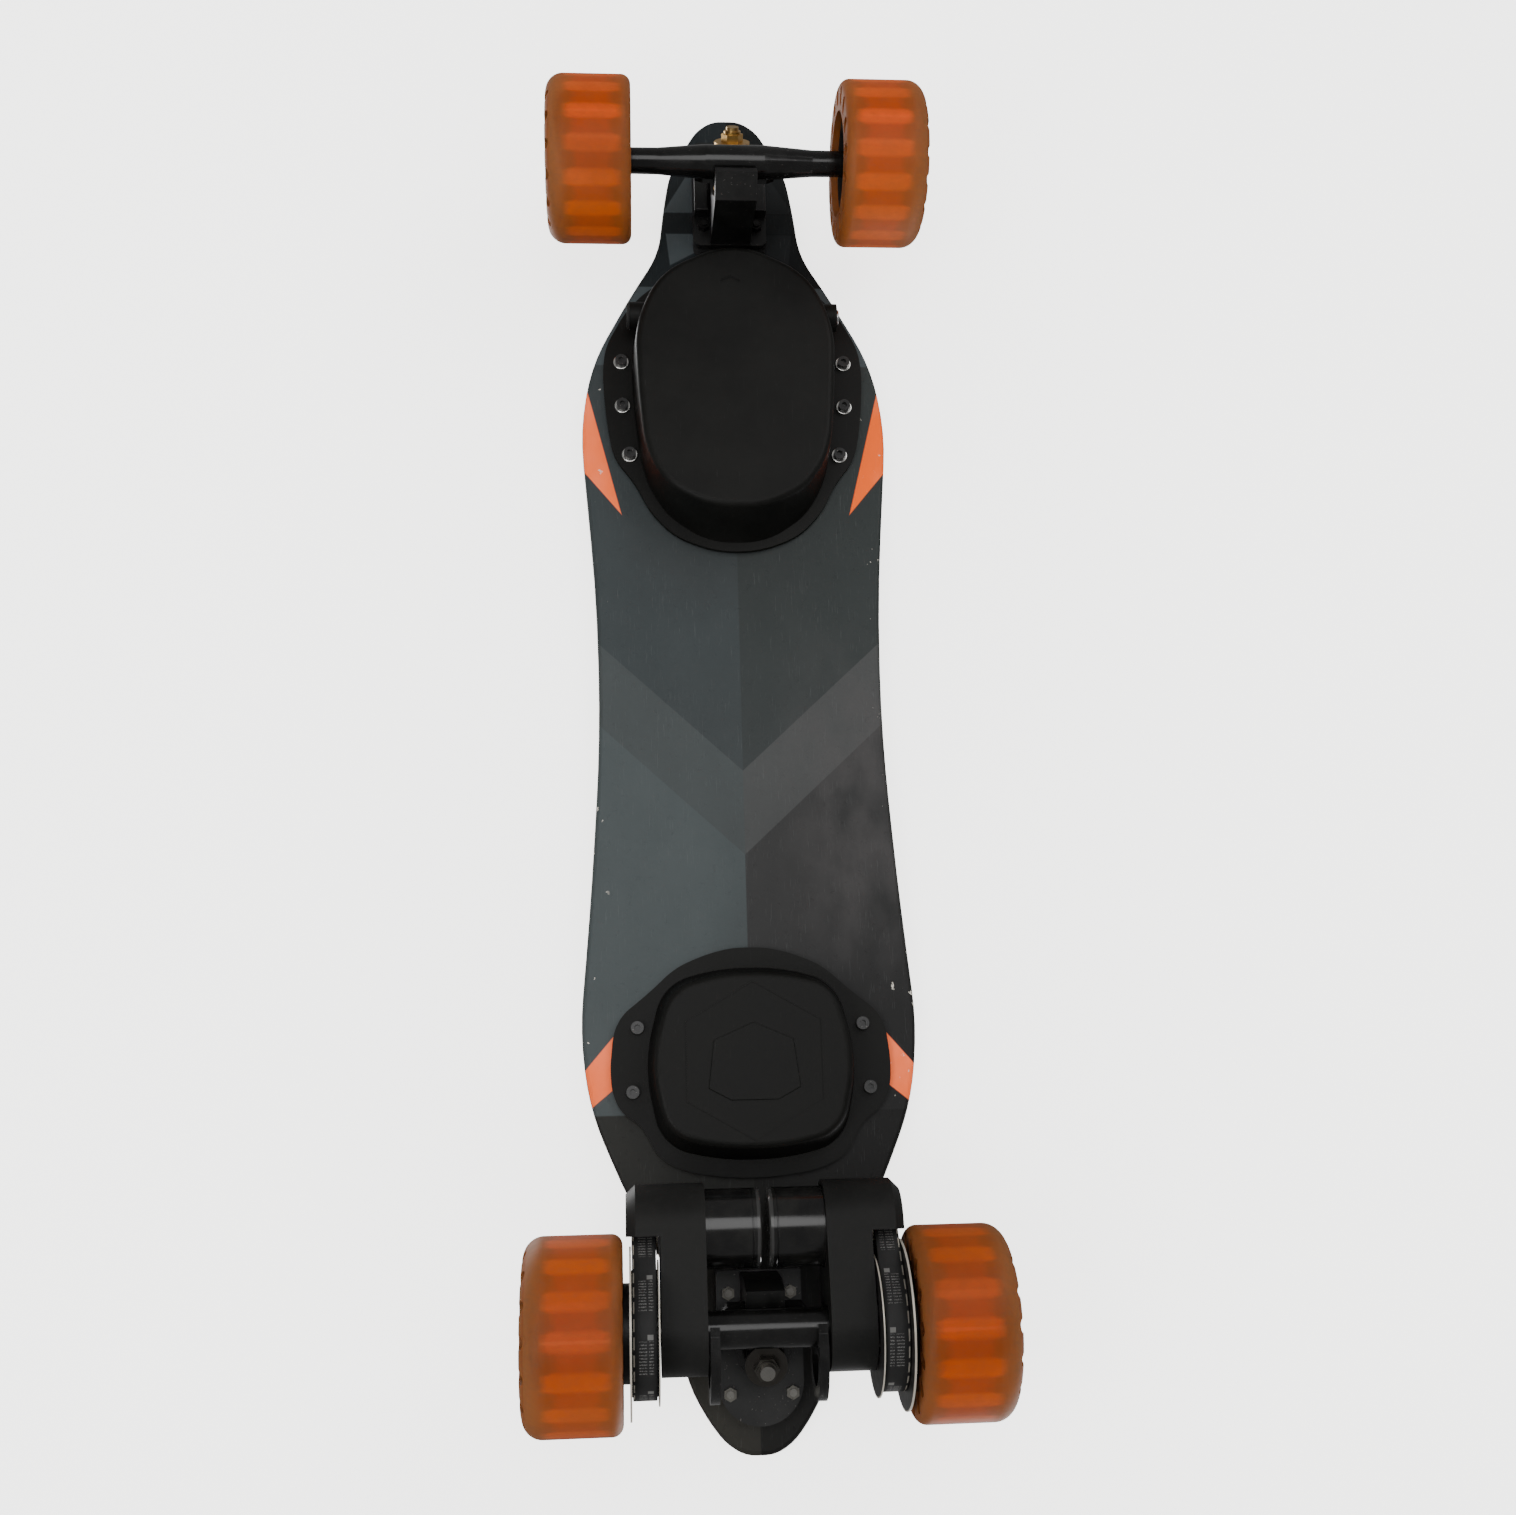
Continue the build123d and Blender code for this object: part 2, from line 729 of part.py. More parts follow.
front_bar = half_to_full([(22, 12.5), (58, 9.6), (front_shoulder_y - 4, 9.4),
                          (front_shoulder_y - 4, 7), (front_shoulder_y, 7)])
rear_bar = half_to_full([(25, 12), (rear_shoulder_y - 1, 12), (rear_shoulder_y - 1, 7),
                         (rear_shoulder_y, 7)])

front_hanger = hanger(front, front_bar, gusset_span=(14, 38), gusset_half=18, foot=34)
export(front_hanger, "front_hanger")

with BuildPart() as rear_hanger:
    add(hanger(rear, rear_bar, gusset_span=(17, 28), gusset_half=26, foot=26))
    # Curved lugs on both sides of the ring.
    for side in (1, -1):
        lug = Plane(
            (rear.axle_x, side * 33.5, 0),
            x_dir=(rear.outboard, 0, 0),
            z_dir=(0, -rear.outboard, 0),
        )
        with BuildSketch(lug):
            with Locations((16, 70)):
                Circle(29)
                Circle(20, mode=Mode.SUBTRACT)
                with Locations((-30, 0)):
                    Rectangle(44, 80, mode=Mode.SUBTRACT)
            with Locations((2, 66)):
                Rectangle(20, 12)
            with Locations((9, 94.5)):
                Rectangle(12, 9)
            with Locations((9, 45.5)):
                Rectangle(12, 9)
            with Locations((2, 70)):
                Rectangle(9, 54)
        extrude(amount=3, both=True)
    with Locations(Plane(rear.axle, z_dir=(0, 1, 0))):
        Cylinder(axle_radius + 0.05, 200, mode=Mode.SUBTRACT)
export(rear_hanger.part, "rear_hanger")

# ---- axles, nuts and spacers --------------------------------------------------------------------
outer_bearing_end = bearing_start + 2 * bearing_width + bearing_gap
washer_thickness = 1
axle_nut_height = 6.5


def across(truck, y, side):
    """Plane square to the axle at a distance to one side, facing outwards."""
    place = (truck.axle_x, side * y, wheel_radius)
    return Plane(place, x_dir=(1, 0, 0), z_dir=(0, side, 0))


def tube(plane, outer, inner, length):
    """Ring or tube standing on a plane."""
    with BuildSketch(plane) as ring:
        Circle(outer)
        Circle(inner, mode=Mode.SUBTRACT)
    extrude(ring.sketch, amount=length)


def axle(truck, wheel_y):
    """Plain rod with a little past each nut."""
    nut_end = wheel_y + outer_bearing_end + washer_thickness + axle_nut_height
    with Locations(Plane(truck.axle, z_dir=(0, 1, 0))):
        Cylinder(axle_radius, 2 * (nut_end + 2.5))
    chamfer(edges().filter_by(GeomType.CIRCLE), 0.6)


def axle_nuts(truck, wheel_y):
    """Lock nut outside each wheel."""
    for side in (1, -1):
        start = across(truck, wheel_y + outer_bearing_end + washer_thickness, side)
        with BuildSketch(start) as nut:
            RegularPolygon(hex_radius(13), 6)
            Circle(axle_radius + 0.02, mode=Mode.SUBTRACT)
        extrude(nut.sketch, amount=axle_nut_height)


def axle_spacers(truck, wheel_y, shoulder_y):
    """Washers, the tube between the bearings, and the tube from the hanger to the bearing."""
    bore = axle_radius + 0.05
    first_bearing = wheel_y + bearing_start
    for side in (1, -1):
        tube(across(truck, shoulder_y, side), 6, bore, first_bearing - shoulder_y)
        tube(across(truck, first_bearing + bearing_width, side), 6, bore, bearing_gap)
        tube(across(truck, wheel_y + outer_bearing_end, side), 7, bore, washer_thickness)


with BuildPart() as front_axle:
    axle(front, front_wheel_y)
export(front_axle.part, "front_axle")

with BuildPart() as front_axle_nuts:
    axle_nuts(front, front_wheel_y)
export(front_axle_nuts.part, "front_axle_nuts")

with BuildPart() as front_axle_spacers:
    axle_spacers(front, front_wheel_y, front_shoulder_y)
export(front_axle_spacers.part, "front_axle_spacers")

with BuildPart() as rear_axle:
    axle(rear, rear_wheel_y)
export(rear_axle.part, "rear_axle")

with BuildPart() as rear_axle_nuts:
    axle_nuts(rear, rear_wheel_y)
export(rear_axle_nuts.part, "rear_axle_nuts")

with BuildPart() as rear_axle_spacers:
    axle_spacers(rear, rear_wheel_y, rear_shoulder_y)
export(rear_axle_spacers.part, "rear_axle_spacers")

# ---- wheels -------------------------------------------------------------------------------------
core_radius = 38
core_start = 5
core_end = 56
web_start = 21
web_end = 32
cavities = 16
cavity_ring = 48.6


def tyre(truck, wheel_y, side):
    """Urethane tyre with a rounded outer shoulder and a ring of open cavities."""
    inner_face = across(truck, wheel_y, side)
    with BuildSketch(inner_face) as section:
        Circle(wheel_radius)
        Circle(core_radius, mode=Mode.SUBTRACT)
    extrude(section.sketch, amount=wheel_width)
    rims = edges().filter_by(GeomType.CIRCLE).filter_by(
        lambda rim: abs(rim.radius - wheel_radius) < 0.01
    ).sort_by(Axis.Y, reverse=side < 0)
    fillet(rims[0], 7)
    fillet(rims[-1], 13)
    with BuildSketch(inner_face) as hollows:
        with PolarLocations(cavity_ring, cavities):
            SlotOverall(13.5, 8.5)
    extrude(hollows.sketch, amount=wheel_width, mode=Mode.SUBTRACT)


def wheel_core(truck, wheel_y, side):
    """Hub with two bearing seats, a pierced web and a wide rim."""
    inner_face = across(truck, wheel_y, side)
    tube(inner_face.offset(core_start), core_radius, core_radius - 5, core_end - core_start)
    tube(inner_face.offset(12), 16, 8, 28)
    with BuildSketch(inner_face.offset(web_start)) as web:
        Circle(core_radius - 2)
        Circle(14, mode=Mode.SUBTRACT)
        with PolarLocations(24.5, 8):
            Circle(6.2, mode=Mode.SUBTRACT)
    extrude(web.sketch, amount=web_end - web_start)
    seats = (bearing_start, bearing_start + bearing_width + bearing_gap)
    depths = (-bearing_start, bearing_start)
    for seat, depth in zip(seats, depths):
        with BuildSketch(inner_face.offset(seat)) as opening:
            Circle(bearing_radius)
        extrude(opening.sketch, amount=bearing_width, mode=Mode.SUBTRACT)
        extrude(opening.sketch, amount=depth, mode=Mode.SUBTRACT)


def wheel_bearings(truck, wheel_y, side):
    """Two shielded ball bearings."""
    for start in (bearing_start, bearing_start + bearing_width + bearing_gap):
        plane = across(truck, wheel_y + start, side)
        tube(plane, bearing_radius - 0.02, axle_radius + 0.06, bearing_width)
        for face in (plane, plane.offset(bearing_width - 0.5)):
            with BuildSketch(face) as recess:
                Circle(9)
                Circle(6.2, mode=Mode.SUBTRACT)
            extrude(recess.sketch, amount=0.5, mode=Mode.SUBTRACT)


wheel_places = [
    ("front_left", front, front_wheel_y, 1),
    ("front_right", front, front_wheel_y, -1),
    ("rear_left", rear, rear_wheel_y, 1),
    ("rear_right", rear, rear_wheel_y, -1),
]
for corner, truck, wheel_y, side in wheel_places:
    with BuildPart() as one_tyre:
        tyre(truck, wheel_y, side)
    export(one_tyre.part, f"{corner}_tyre")
    with BuildPart() as one_core:
        wheel_core(truck, wheel_y, side)
    export(one_core.part, f"{corner}_wheel_core")
    with BuildPart() as bearing_pair:
        wheel_bearings(truck, wheel_y, side)
    export(bearing_pair.part, f"{corner}_wheel_bearings")

# ---- belt drive ---------------------------------------------------------------------------------
side_names = [("left", 1), ("right", -1)]
belt_start = belt_middle_y - belt_width / 2
motor_place_x = motor_x


def drive_plane(y, side):
    """Plane square to the axles through the rear axle, x towards the nose."""
    return across(rear, y, side)


def motor_plane(y, side):
    """Plane square to the motor shaft at a distance to one side, facing outwards."""
    return Plane((motor_place_x, side * y, motor_z), x_dir=(1, 0, 0), z_dir=(0, side, 0))


def motor_spot(side):
    """The motor's centre on a drive plane, whose y axis points down on the left side."""
    return (motor_offset, -side * motor_rise)


def toothed_disc(tip_radius, teeth):
    """Pulley section with round tooth gaps."""
    Circle(tip_radius)
    with PolarLocations(tip_radius - tooth_depth + tooth_radius, teeth):
        Circle(tooth_radius, mode=Mode.SUBTRACT)
        with Locations((tooth_depth / 2, 0)):
            Rectangle(tooth_depth, 2 * tooth_radius, mode=Mode.SUBTRACT)


for name, side in side_names:
    with BuildPart() as wheel_pulley:
        with BuildSketch(drive_plane(68.4, side)):
            toothed_disc(wheel_tip_radius, wheel_teeth)
        extrude(amount=16.4)
        with BuildSketch(drive_plane(67.6, side)):
            Circle(43.5)
        extrude(amount=0.8)
        with BuildSketch(drive_plane(84.8, side)):
            Circle(52)
        extrude(amount=1.2)
        with BuildSketch(drive_plane(86, side)):
            Circle(30)
        extrude(amount=rear_wheel_y + web_start - 86)
        with BuildSketch(drive_plane(67, side)):
            Circle(9)
        extrude(amount=50, mode=Mode.SUBTRACT)
        with BuildSketch(drive_plane(rear_wheel_y + 11, side)):
            Circle(16.4)
        extrude(amount=20, mode=Mode.SUBTRACT)
        # Lightening holes through the toothed disc.
        with BuildSketch(drive_plane(67, side)):
            with PolarLocations(21, 6):
                Circle(6)
        extrude(amount=21, mode=Mode.SUBTRACT)
    export(wheel_pulley.part, f"{name}_wheel_pulley")

    with BuildPart() as motor_pulley:
        with BuildSketch(motor_plane(68.7, side)):
            toothed_disc(motor_tip_radius, motor_teeth)
        extrude(amount=15.8)
        with BuildSketch(motor_plane(67.9, side)):
            Circle(15)
        extrude(amount=0.8)
        with BuildSketch(motor_plane(67, side)):
            Circle(axle_radius + 0.02)
        extrude(amount=25, mode=Mode.SUBTRACT)
    export(motor_pulley.part, f"{name}_motor_pulley")

    with BuildPart() as belt:
        with BuildSketch(drive_plane(belt_start, side)):
            Circle(wheel_tip_radius + tip_clearance + belt_back)
            with Locations(motor_spot(side)):
                Circle(motor_tip_radius + tip_clearance + belt_back)
            make_hull()
        extrude(amount=belt_width)
        with BuildSketch(drive_plane(belt_start, side)):
            Circle(wheel_tip_radius + tip_clearance)
            with Locations(motor_spot(side)):
                Circle(motor_tip_radius + tip_clearance)
            make_hull()
        extrude(amount=belt_width, mode=Mode.SUBTRACT)
    export(belt.part, f"{name}_belt")

# ---- motor mounts and belt covers ---------------------------------------------------------------
cover_motor_radius = 29
cover_axle_radius = 27
cover_skin = 2
cover_inner_y = 38
cover_partition_y = 66.5
cover_outer_y = 88
cover_window_x = -362
motor_screw_ring = 16
cover_floor = mount_outer_y + 0.1


def mount_hull(side, at_motor, at_axle):
    """Outline wrapped round the motor and the axle."""
    Circle(at_axle)
    with Locations(motor_spot(side)):
        Circle(at_motor)
    make_hull()


def drive_case(side, start, end, at_motor, at_axle, mode, motor_end_only):
    """Extruded wrap from one distance to the next, or just its half over the motor pulley."""
    with BuildSketch(drive_plane(start, side)) as wrap:
        mount_hull(side, at_motor, at_axle)
        if motor_end_only:
            window = cover_window_x - rear.axle_x
            with Locations((window - 60, 0)):
                Rectangle(120, 160, mode=Mode.SUBTRACT)
    extrude(wrap.sketch, amount=end - start, mode=mode)


for name, side in side_names:
    skin_motor = cover_motor_radius - cover_skin
    skin_axle = cover_axle_radius - cover_skin

    with BuildPart() as motor_mount:
        drive_case(
            side, mount_inner_y, mount_outer_y, skin_motor - 0.1, skin_axle - 0.1, Mode.ADD, False
        )
        with BuildSketch(drive_plane(mount_inner_y, side)):
            Circle(12.05)
            with Locations((14, 0)):
                Rectangle(12, 2)
        extrude(amount=10, mode=Mode.SUBTRACT)
        with BuildSketch(motor_plane(mount_inner_y, side)):
            Circle(6.5)
            with PolarLocations(motor_screw_ring, 4):
                Circle(2.1)
        extrude(amount=10, mode=Mode.SUBTRACT)
        with BuildSketch(motor_plane(mount_outer_y - 4, side)):
            with PolarLocations(motor_screw_ring, 4):
                Circle(3.8)
        extrude(amount=5, mode=Mode.SUBTRACT)
    export(motor_mount.part, f"{name}_motor_mount")

    with BuildPart() as belt_cover:
        drive_case(
            side, cover_inner_y, cover_partition_y,
            cover_motor_radius, cover_axle_radius, Mode.ADD, False,
        )
        drive_case(
            side, cover_partition_y, cover_outer_y,
            cover_motor_radius, cover_axle_radius, Mode.ADD, True,
        )
        outer_rim = belt_cover.faces().sort_by(Axis.Y, reverse=side < 0)[-1].edges().filter_by(
            GeomType.CIRCLE
        )
        chamfer(outer_rim, 6)
        drive_case(
            side, cover_inner_y + cover_skin, cover_floor,
            skin_motor, skin_axle, Mode.SUBTRACT, False,
        )
        drive_case(
            side, cover_floor - 1, cover_outer_y - cover_skin,
            skin_motor - 4, skin_axle, Mode.SUBTRACT, True,
        )
        with BuildSketch(motor_plane(cover_inner_y - 1, side)):
            Circle(motor_radius + 1)
        extrude(amount=5, mode=Mode.SUBTRACT)
        with BuildSketch(drive_plane(cover_inner_y - 1, side)):
            Circle(13)
        extrude(amount=5, mode=Mode.SUBTRACT)
        with BuildSketch(drive_plane(cover_floor - 1, side)):
            Circle(13)
            with Locations(motor_spot(side)):
                Circle(7)
        extrude(amount=5, mode=Mode.SUBTRACT)
    export(belt_cover.part, f"{name}_belt_cover")

# ---- motors -------------------------------------------------------------------------------------
can_end_y = 48.5
stator_bore = axle_radius + 0.08

for name, side in side_names:
    with BuildPart() as motor_stator:
        tube(motor_plane(50, side), 22, stator_bore, mount_inner_y - 50)
        tube(motor_plane(10, side), 9, stator_bore, 41)
        with BuildSketch(motor_plane(16, side)):
            Circle(20.4)
            Circle(8, mode=Mode.SUBTRACT)
            with PolarLocations(15.5, 12):
                SlotOverall(6.5, 3.4, mode=Mode.SUBTRACT)
        extrude(amount=30)
        with BuildSketch(motor_plane(mount_inner_y, side)):
            with PolarLocations(motor_screw_ring, 4):
                Circle(1.98)
        extrude(amount=-6, mode=Mode.SUBTRACT)
    export(motor_stator.part, f"{name}_motor_stator")

    with BuildPart() as motor_can:
        tube(motor_plane(motor_inner_y, side), motor_radius, 20.9, can_end_y - motor_inner_y)
        with BuildSketch(motor_plane(motor_inner_y, side)):
            Circle(22)
            Circle(axle_radius + 0.02, mode=Mode.SUBTRACT)
            with PolarLocations(14.5, 8):
                Circle(3.6, mode=Mode.SUBTRACT)
        extrude(amount=4)
        chamfer(
            motor_can.edges().filter_by(GeomType.CIRCLE).filter_by(
                lambda rim: abs(rim.radius - motor_radius) < 0.01
            ),
            0.8,
        )
    export(motor_can.part, f"{name}_motor_can")

    with BuildPart() as motor_shaft:
        with BuildSketch(motor_plane(motor_inner_y, side)):
            Circle(axle_radius)
        extrude(amount=84.5 - motor_inner_y)
    export(motor_shaft.part, f"{name}_motor_shaft")

with BuildPart() as motor_screws:
    for name, side in side_names:
        with BuildSketch(motor_plane(mount_outer_y - 4, side)):
            with PolarLocations(motor_screw_ring, 4):
                Circle(3.5)
        extrude(amount=4)
        with BuildSketch(motor_plane(mount_outer_y - 4, side)):
            with PolarLocations(motor_screw_ring, 4):
                Circle(1.96)
        extrude(amount=-8.5)
        with BuildSketch(motor_plane(mount_outer_y, side)):
            with PolarLocations(motor_screw_ring, 4):
                RegularPolygon(hex_radius(3), 6)
        extrude(amount=-2, mode=Mode.SUBTRACT)
export(motor_screws.part, "motor_screws")
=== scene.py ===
import math

import bpy
import numpy as np
from mathutils import Matrix, Vector


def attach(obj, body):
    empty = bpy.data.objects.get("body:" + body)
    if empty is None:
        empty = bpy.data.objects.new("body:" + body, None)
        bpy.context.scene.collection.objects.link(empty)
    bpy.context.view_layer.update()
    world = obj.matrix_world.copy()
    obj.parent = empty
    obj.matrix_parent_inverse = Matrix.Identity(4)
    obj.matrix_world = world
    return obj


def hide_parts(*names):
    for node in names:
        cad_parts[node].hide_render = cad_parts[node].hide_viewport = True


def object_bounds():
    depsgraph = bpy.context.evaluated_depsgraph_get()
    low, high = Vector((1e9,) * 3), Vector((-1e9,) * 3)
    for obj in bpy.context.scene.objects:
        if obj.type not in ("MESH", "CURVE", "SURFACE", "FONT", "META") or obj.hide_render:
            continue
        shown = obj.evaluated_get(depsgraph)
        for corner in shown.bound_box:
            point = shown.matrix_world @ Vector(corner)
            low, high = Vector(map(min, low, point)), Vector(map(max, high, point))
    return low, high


bl_info = {
    "name": "Electric skateboard finishes",
    "version": (1, 0, 0),
    "blender": (4, 5, 0),
    "location": "3D View > Sidebar > Skateboard",
    "description": "Finishes and fine surfaces of a belt-driven electric skateboard",
    "category": "Object",
}

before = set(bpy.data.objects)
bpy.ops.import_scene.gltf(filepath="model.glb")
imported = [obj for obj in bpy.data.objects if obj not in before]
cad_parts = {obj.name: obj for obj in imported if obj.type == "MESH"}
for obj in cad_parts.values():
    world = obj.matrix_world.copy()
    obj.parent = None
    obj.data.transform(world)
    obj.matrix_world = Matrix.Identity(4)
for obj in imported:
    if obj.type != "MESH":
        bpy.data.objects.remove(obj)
cad_box = [list(corner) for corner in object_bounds()]
MM = 0.001

# Places of the axles (x, z) and the height of the deck's lowest ply, in mm.
FRONT_AXLE = (411, 60)
REAR_AXLE = (-420, 60)
MOTOR_AHEAD = 61
MOTOR_SPAN = 62.3
DECK_LOW = 144
DECK_THICK = 12
FRONT_TYRE_INNER = 77.5
REAR_TYRE_INNER = 90
PULLEY_TEETH = {"wheel": 48, "motor": 16}
BELT_TEETH = 59
STEPS_PER_TOOTH = 10
CHIPPED_METAL = (0.18, 0.17, 0.16)
FRAME_WIDTH = 1516
FOCAL_LENGTH = 1701


# ---- shader expressions -------------------------------------------------------------------------
class Value:
    """A socket in a material. Arithmetic on it adds Math nodes to the same material."""

    def __init__(self, tree, socket=None):
        self.tree = tree
        self.socket = socket

    def node(self, kind, values=(), out=0, **settings):
        """Adds a node with its settings, then gives its sockets their values or links."""
        made = self.tree.nodes.new(kind)
        for key, setting in settings.items():
            setattr(made, key, setting)
        pairs = values.items() if isinstance(values, dict) else enumerate(values)
        for key, value in pairs:
            if isinstance(value, Value):
                self.tree.links.new(value.socket, made.inputs[key])
            else:
                made.inputs[key].default_value = value
        return Value(self.tree, made.outputs[out] if made.outputs else None)

    def math(self, operation, *values, clamp=False):
        return self.node("ShaderNodeMath", values, operation=operation, use_clamp=clamp)

    def __add__(self, other):
        return self.math("ADD", self, other)

    def __radd__(self, other):
        return self.math("ADD", other, self)

    def __sub__(self, other):
        return self.math("SUBTRACT", self, other)

    def __rsub__(self, other):
        return self.math("SUBTRACT", other, self)

    def __mul__(self, other):
        return self.math("MULTIPLY", self, other)

    def __rmul__(self, other):
        return self.math("MULTIPLY", other, self)

    def __abs__(self):
        return self.math("ABSOLUTE", self, 0.0)

    def least(self, other):
        return self.math("MINIMUM", self, other)

    def most(self, other):
        return self.math("MAXIMUM", self, other)

    def above(self, level, soft):
        """1 where this is above a level and 0 below, over a soft edge of the width given."""
        return self.math("MULTIPLY_ADD", self, 1 / soft, 0.5 - level / soft, clamp=True)

    def between(self, low, high, soft):
        return self.above(low, soft) * (1 - self.above(high, soft))

    def pick(self, off, on):
        """The colour off where this is 0 and on where it is 1."""
        sockets = {0: self, 6: opaque(off), 7: opaque(on)}
        return self.node("ShaderNodeMix", sockets, out=2, data_type="RGBA")


def opaque(colour):
    return colour if isinstance(colour, Value) or len(colour) == 4 else (*colour, 1.0)


class Finish:
    """One material. x, y and z are places on the object in mm."""

    def __init__(self, name):
        self.material = bpy.data.materials.new(name)
        self.material.use_nodes = True
        self.tree = self.material.node_tree
        self.tree.nodes.clear()
        self.start = Value(self.tree)
        self.place = self.start.node("ShaderNodeTexCoord", out=3)
        place_mm = self.start.node(
            "ShaderNodeVectorMath", {0: self.place, 3: 1000.0}, operation="SCALE"
        )
        self.x, self.y, self.z = [
            self.start.node("ShaderNodeSeparateXYZ", (place_mm,), out=axis) for axis in range(3)
        ]

    def noise(self, size, detail=3.0, stretch=(1, 1, 1), rough=0.5, shift=0.0):
        """Noise from 0 to 1 whose spots are about size mm across, stretched along each axis."""
        scale = [1000 / (size * s) for s in stretch]
        mapped = self.start.node(
            "ShaderNodeMapping", {0: self.place, 1: (shift, shift, shift), 3: scale}
        )
        sockets = {0: mapped, 2: 1.0, 3: detail, 4: rough}
        return self.start.node("ShaderNodeTexNoise", sockets)

    def cells(self, size):
        """Distance to the nearest of scattered points about size mm apart."""
        mapped = self.start.node("ShaderNodeMapping", {0: self.place, 3: [1000 / size] * 3})
        return self.start.node("ShaderNodeTexVoronoi", {0: mapped, 2: 1.0}, feature="F1")

    def beyond(self, start, end):
        """Distance in mm to the left of the line that runs from start to end in plan."""
        run = math.dist(start, end)
        across = ((start[1] - end[1]) / run, (end[0] - start[0]) / run)
        offset = across[0] * start[0] + across[1] * start[1]
        return self.x * across[0] + self.y * across[1] - offset

    def inside(self, corners, soft=0.6):
        """1 inside a convex outline in plan whose corners run counter-clockwise."""
        ends = corners[1:] + corners[:1]
        depth = self.beyond(corners[0], ends[0])
        for start, end in list(zip(corners, ends))[1:]:
            depth = depth.least(self.beyond(start, end))
        return depth.above(0, soft)

    def radius(self, centre):
        """Distance in mm from the axle through the centre (x, z)."""
        first = self.x - centre[0]
        second = self.z - centre[1]
        return self.start.math("SQRT", first * first + second * second)

    def turn(self, centre):
        """Angle about the axle through the centre (x, z), in radians."""
        return self.start.math("ARCTAN2", self.z - centre[1], self.x - centre[0])

    def scratches(self, size, amount):
        """Thin wear lines, from 0 to 1."""
        lines = self.noise(size, 2.0, (30, 1, 30), 0.6)
        gaps = self.noise(size * 25, 2.0)
        return lines.above(1 - amount, 0.03) * gaps.above(0.5, 0.15)

    def close(self, colour, rough, bump=None, depth=0.1, metal=0.0, coat=None, **fixed):
        """Joins the values to one shader. depth is the bump's height in mm."""
        sockets = {"Base Color": opaque(colour), "Roughness": rough, "Metallic": metal}
        if coat is not None:
            sockets["Coat Weight"] = coat
        if bump is not None:
            sockets["Normal"] = self.start.node(
                "ShaderNodeBump", {"Strength": 1.0, "Distance": depth * MM, "Height": bump}
            )
        for key, value in fixed.items():
            sockets[key.replace("_", " ").title().replace("Ior", "IOR")] = value
        shader = self.start.node("ShaderNodeBsdfPrincipled", sockets)
        self.start.node("ShaderNodeOutputMaterial", (shader,))
        return self.material


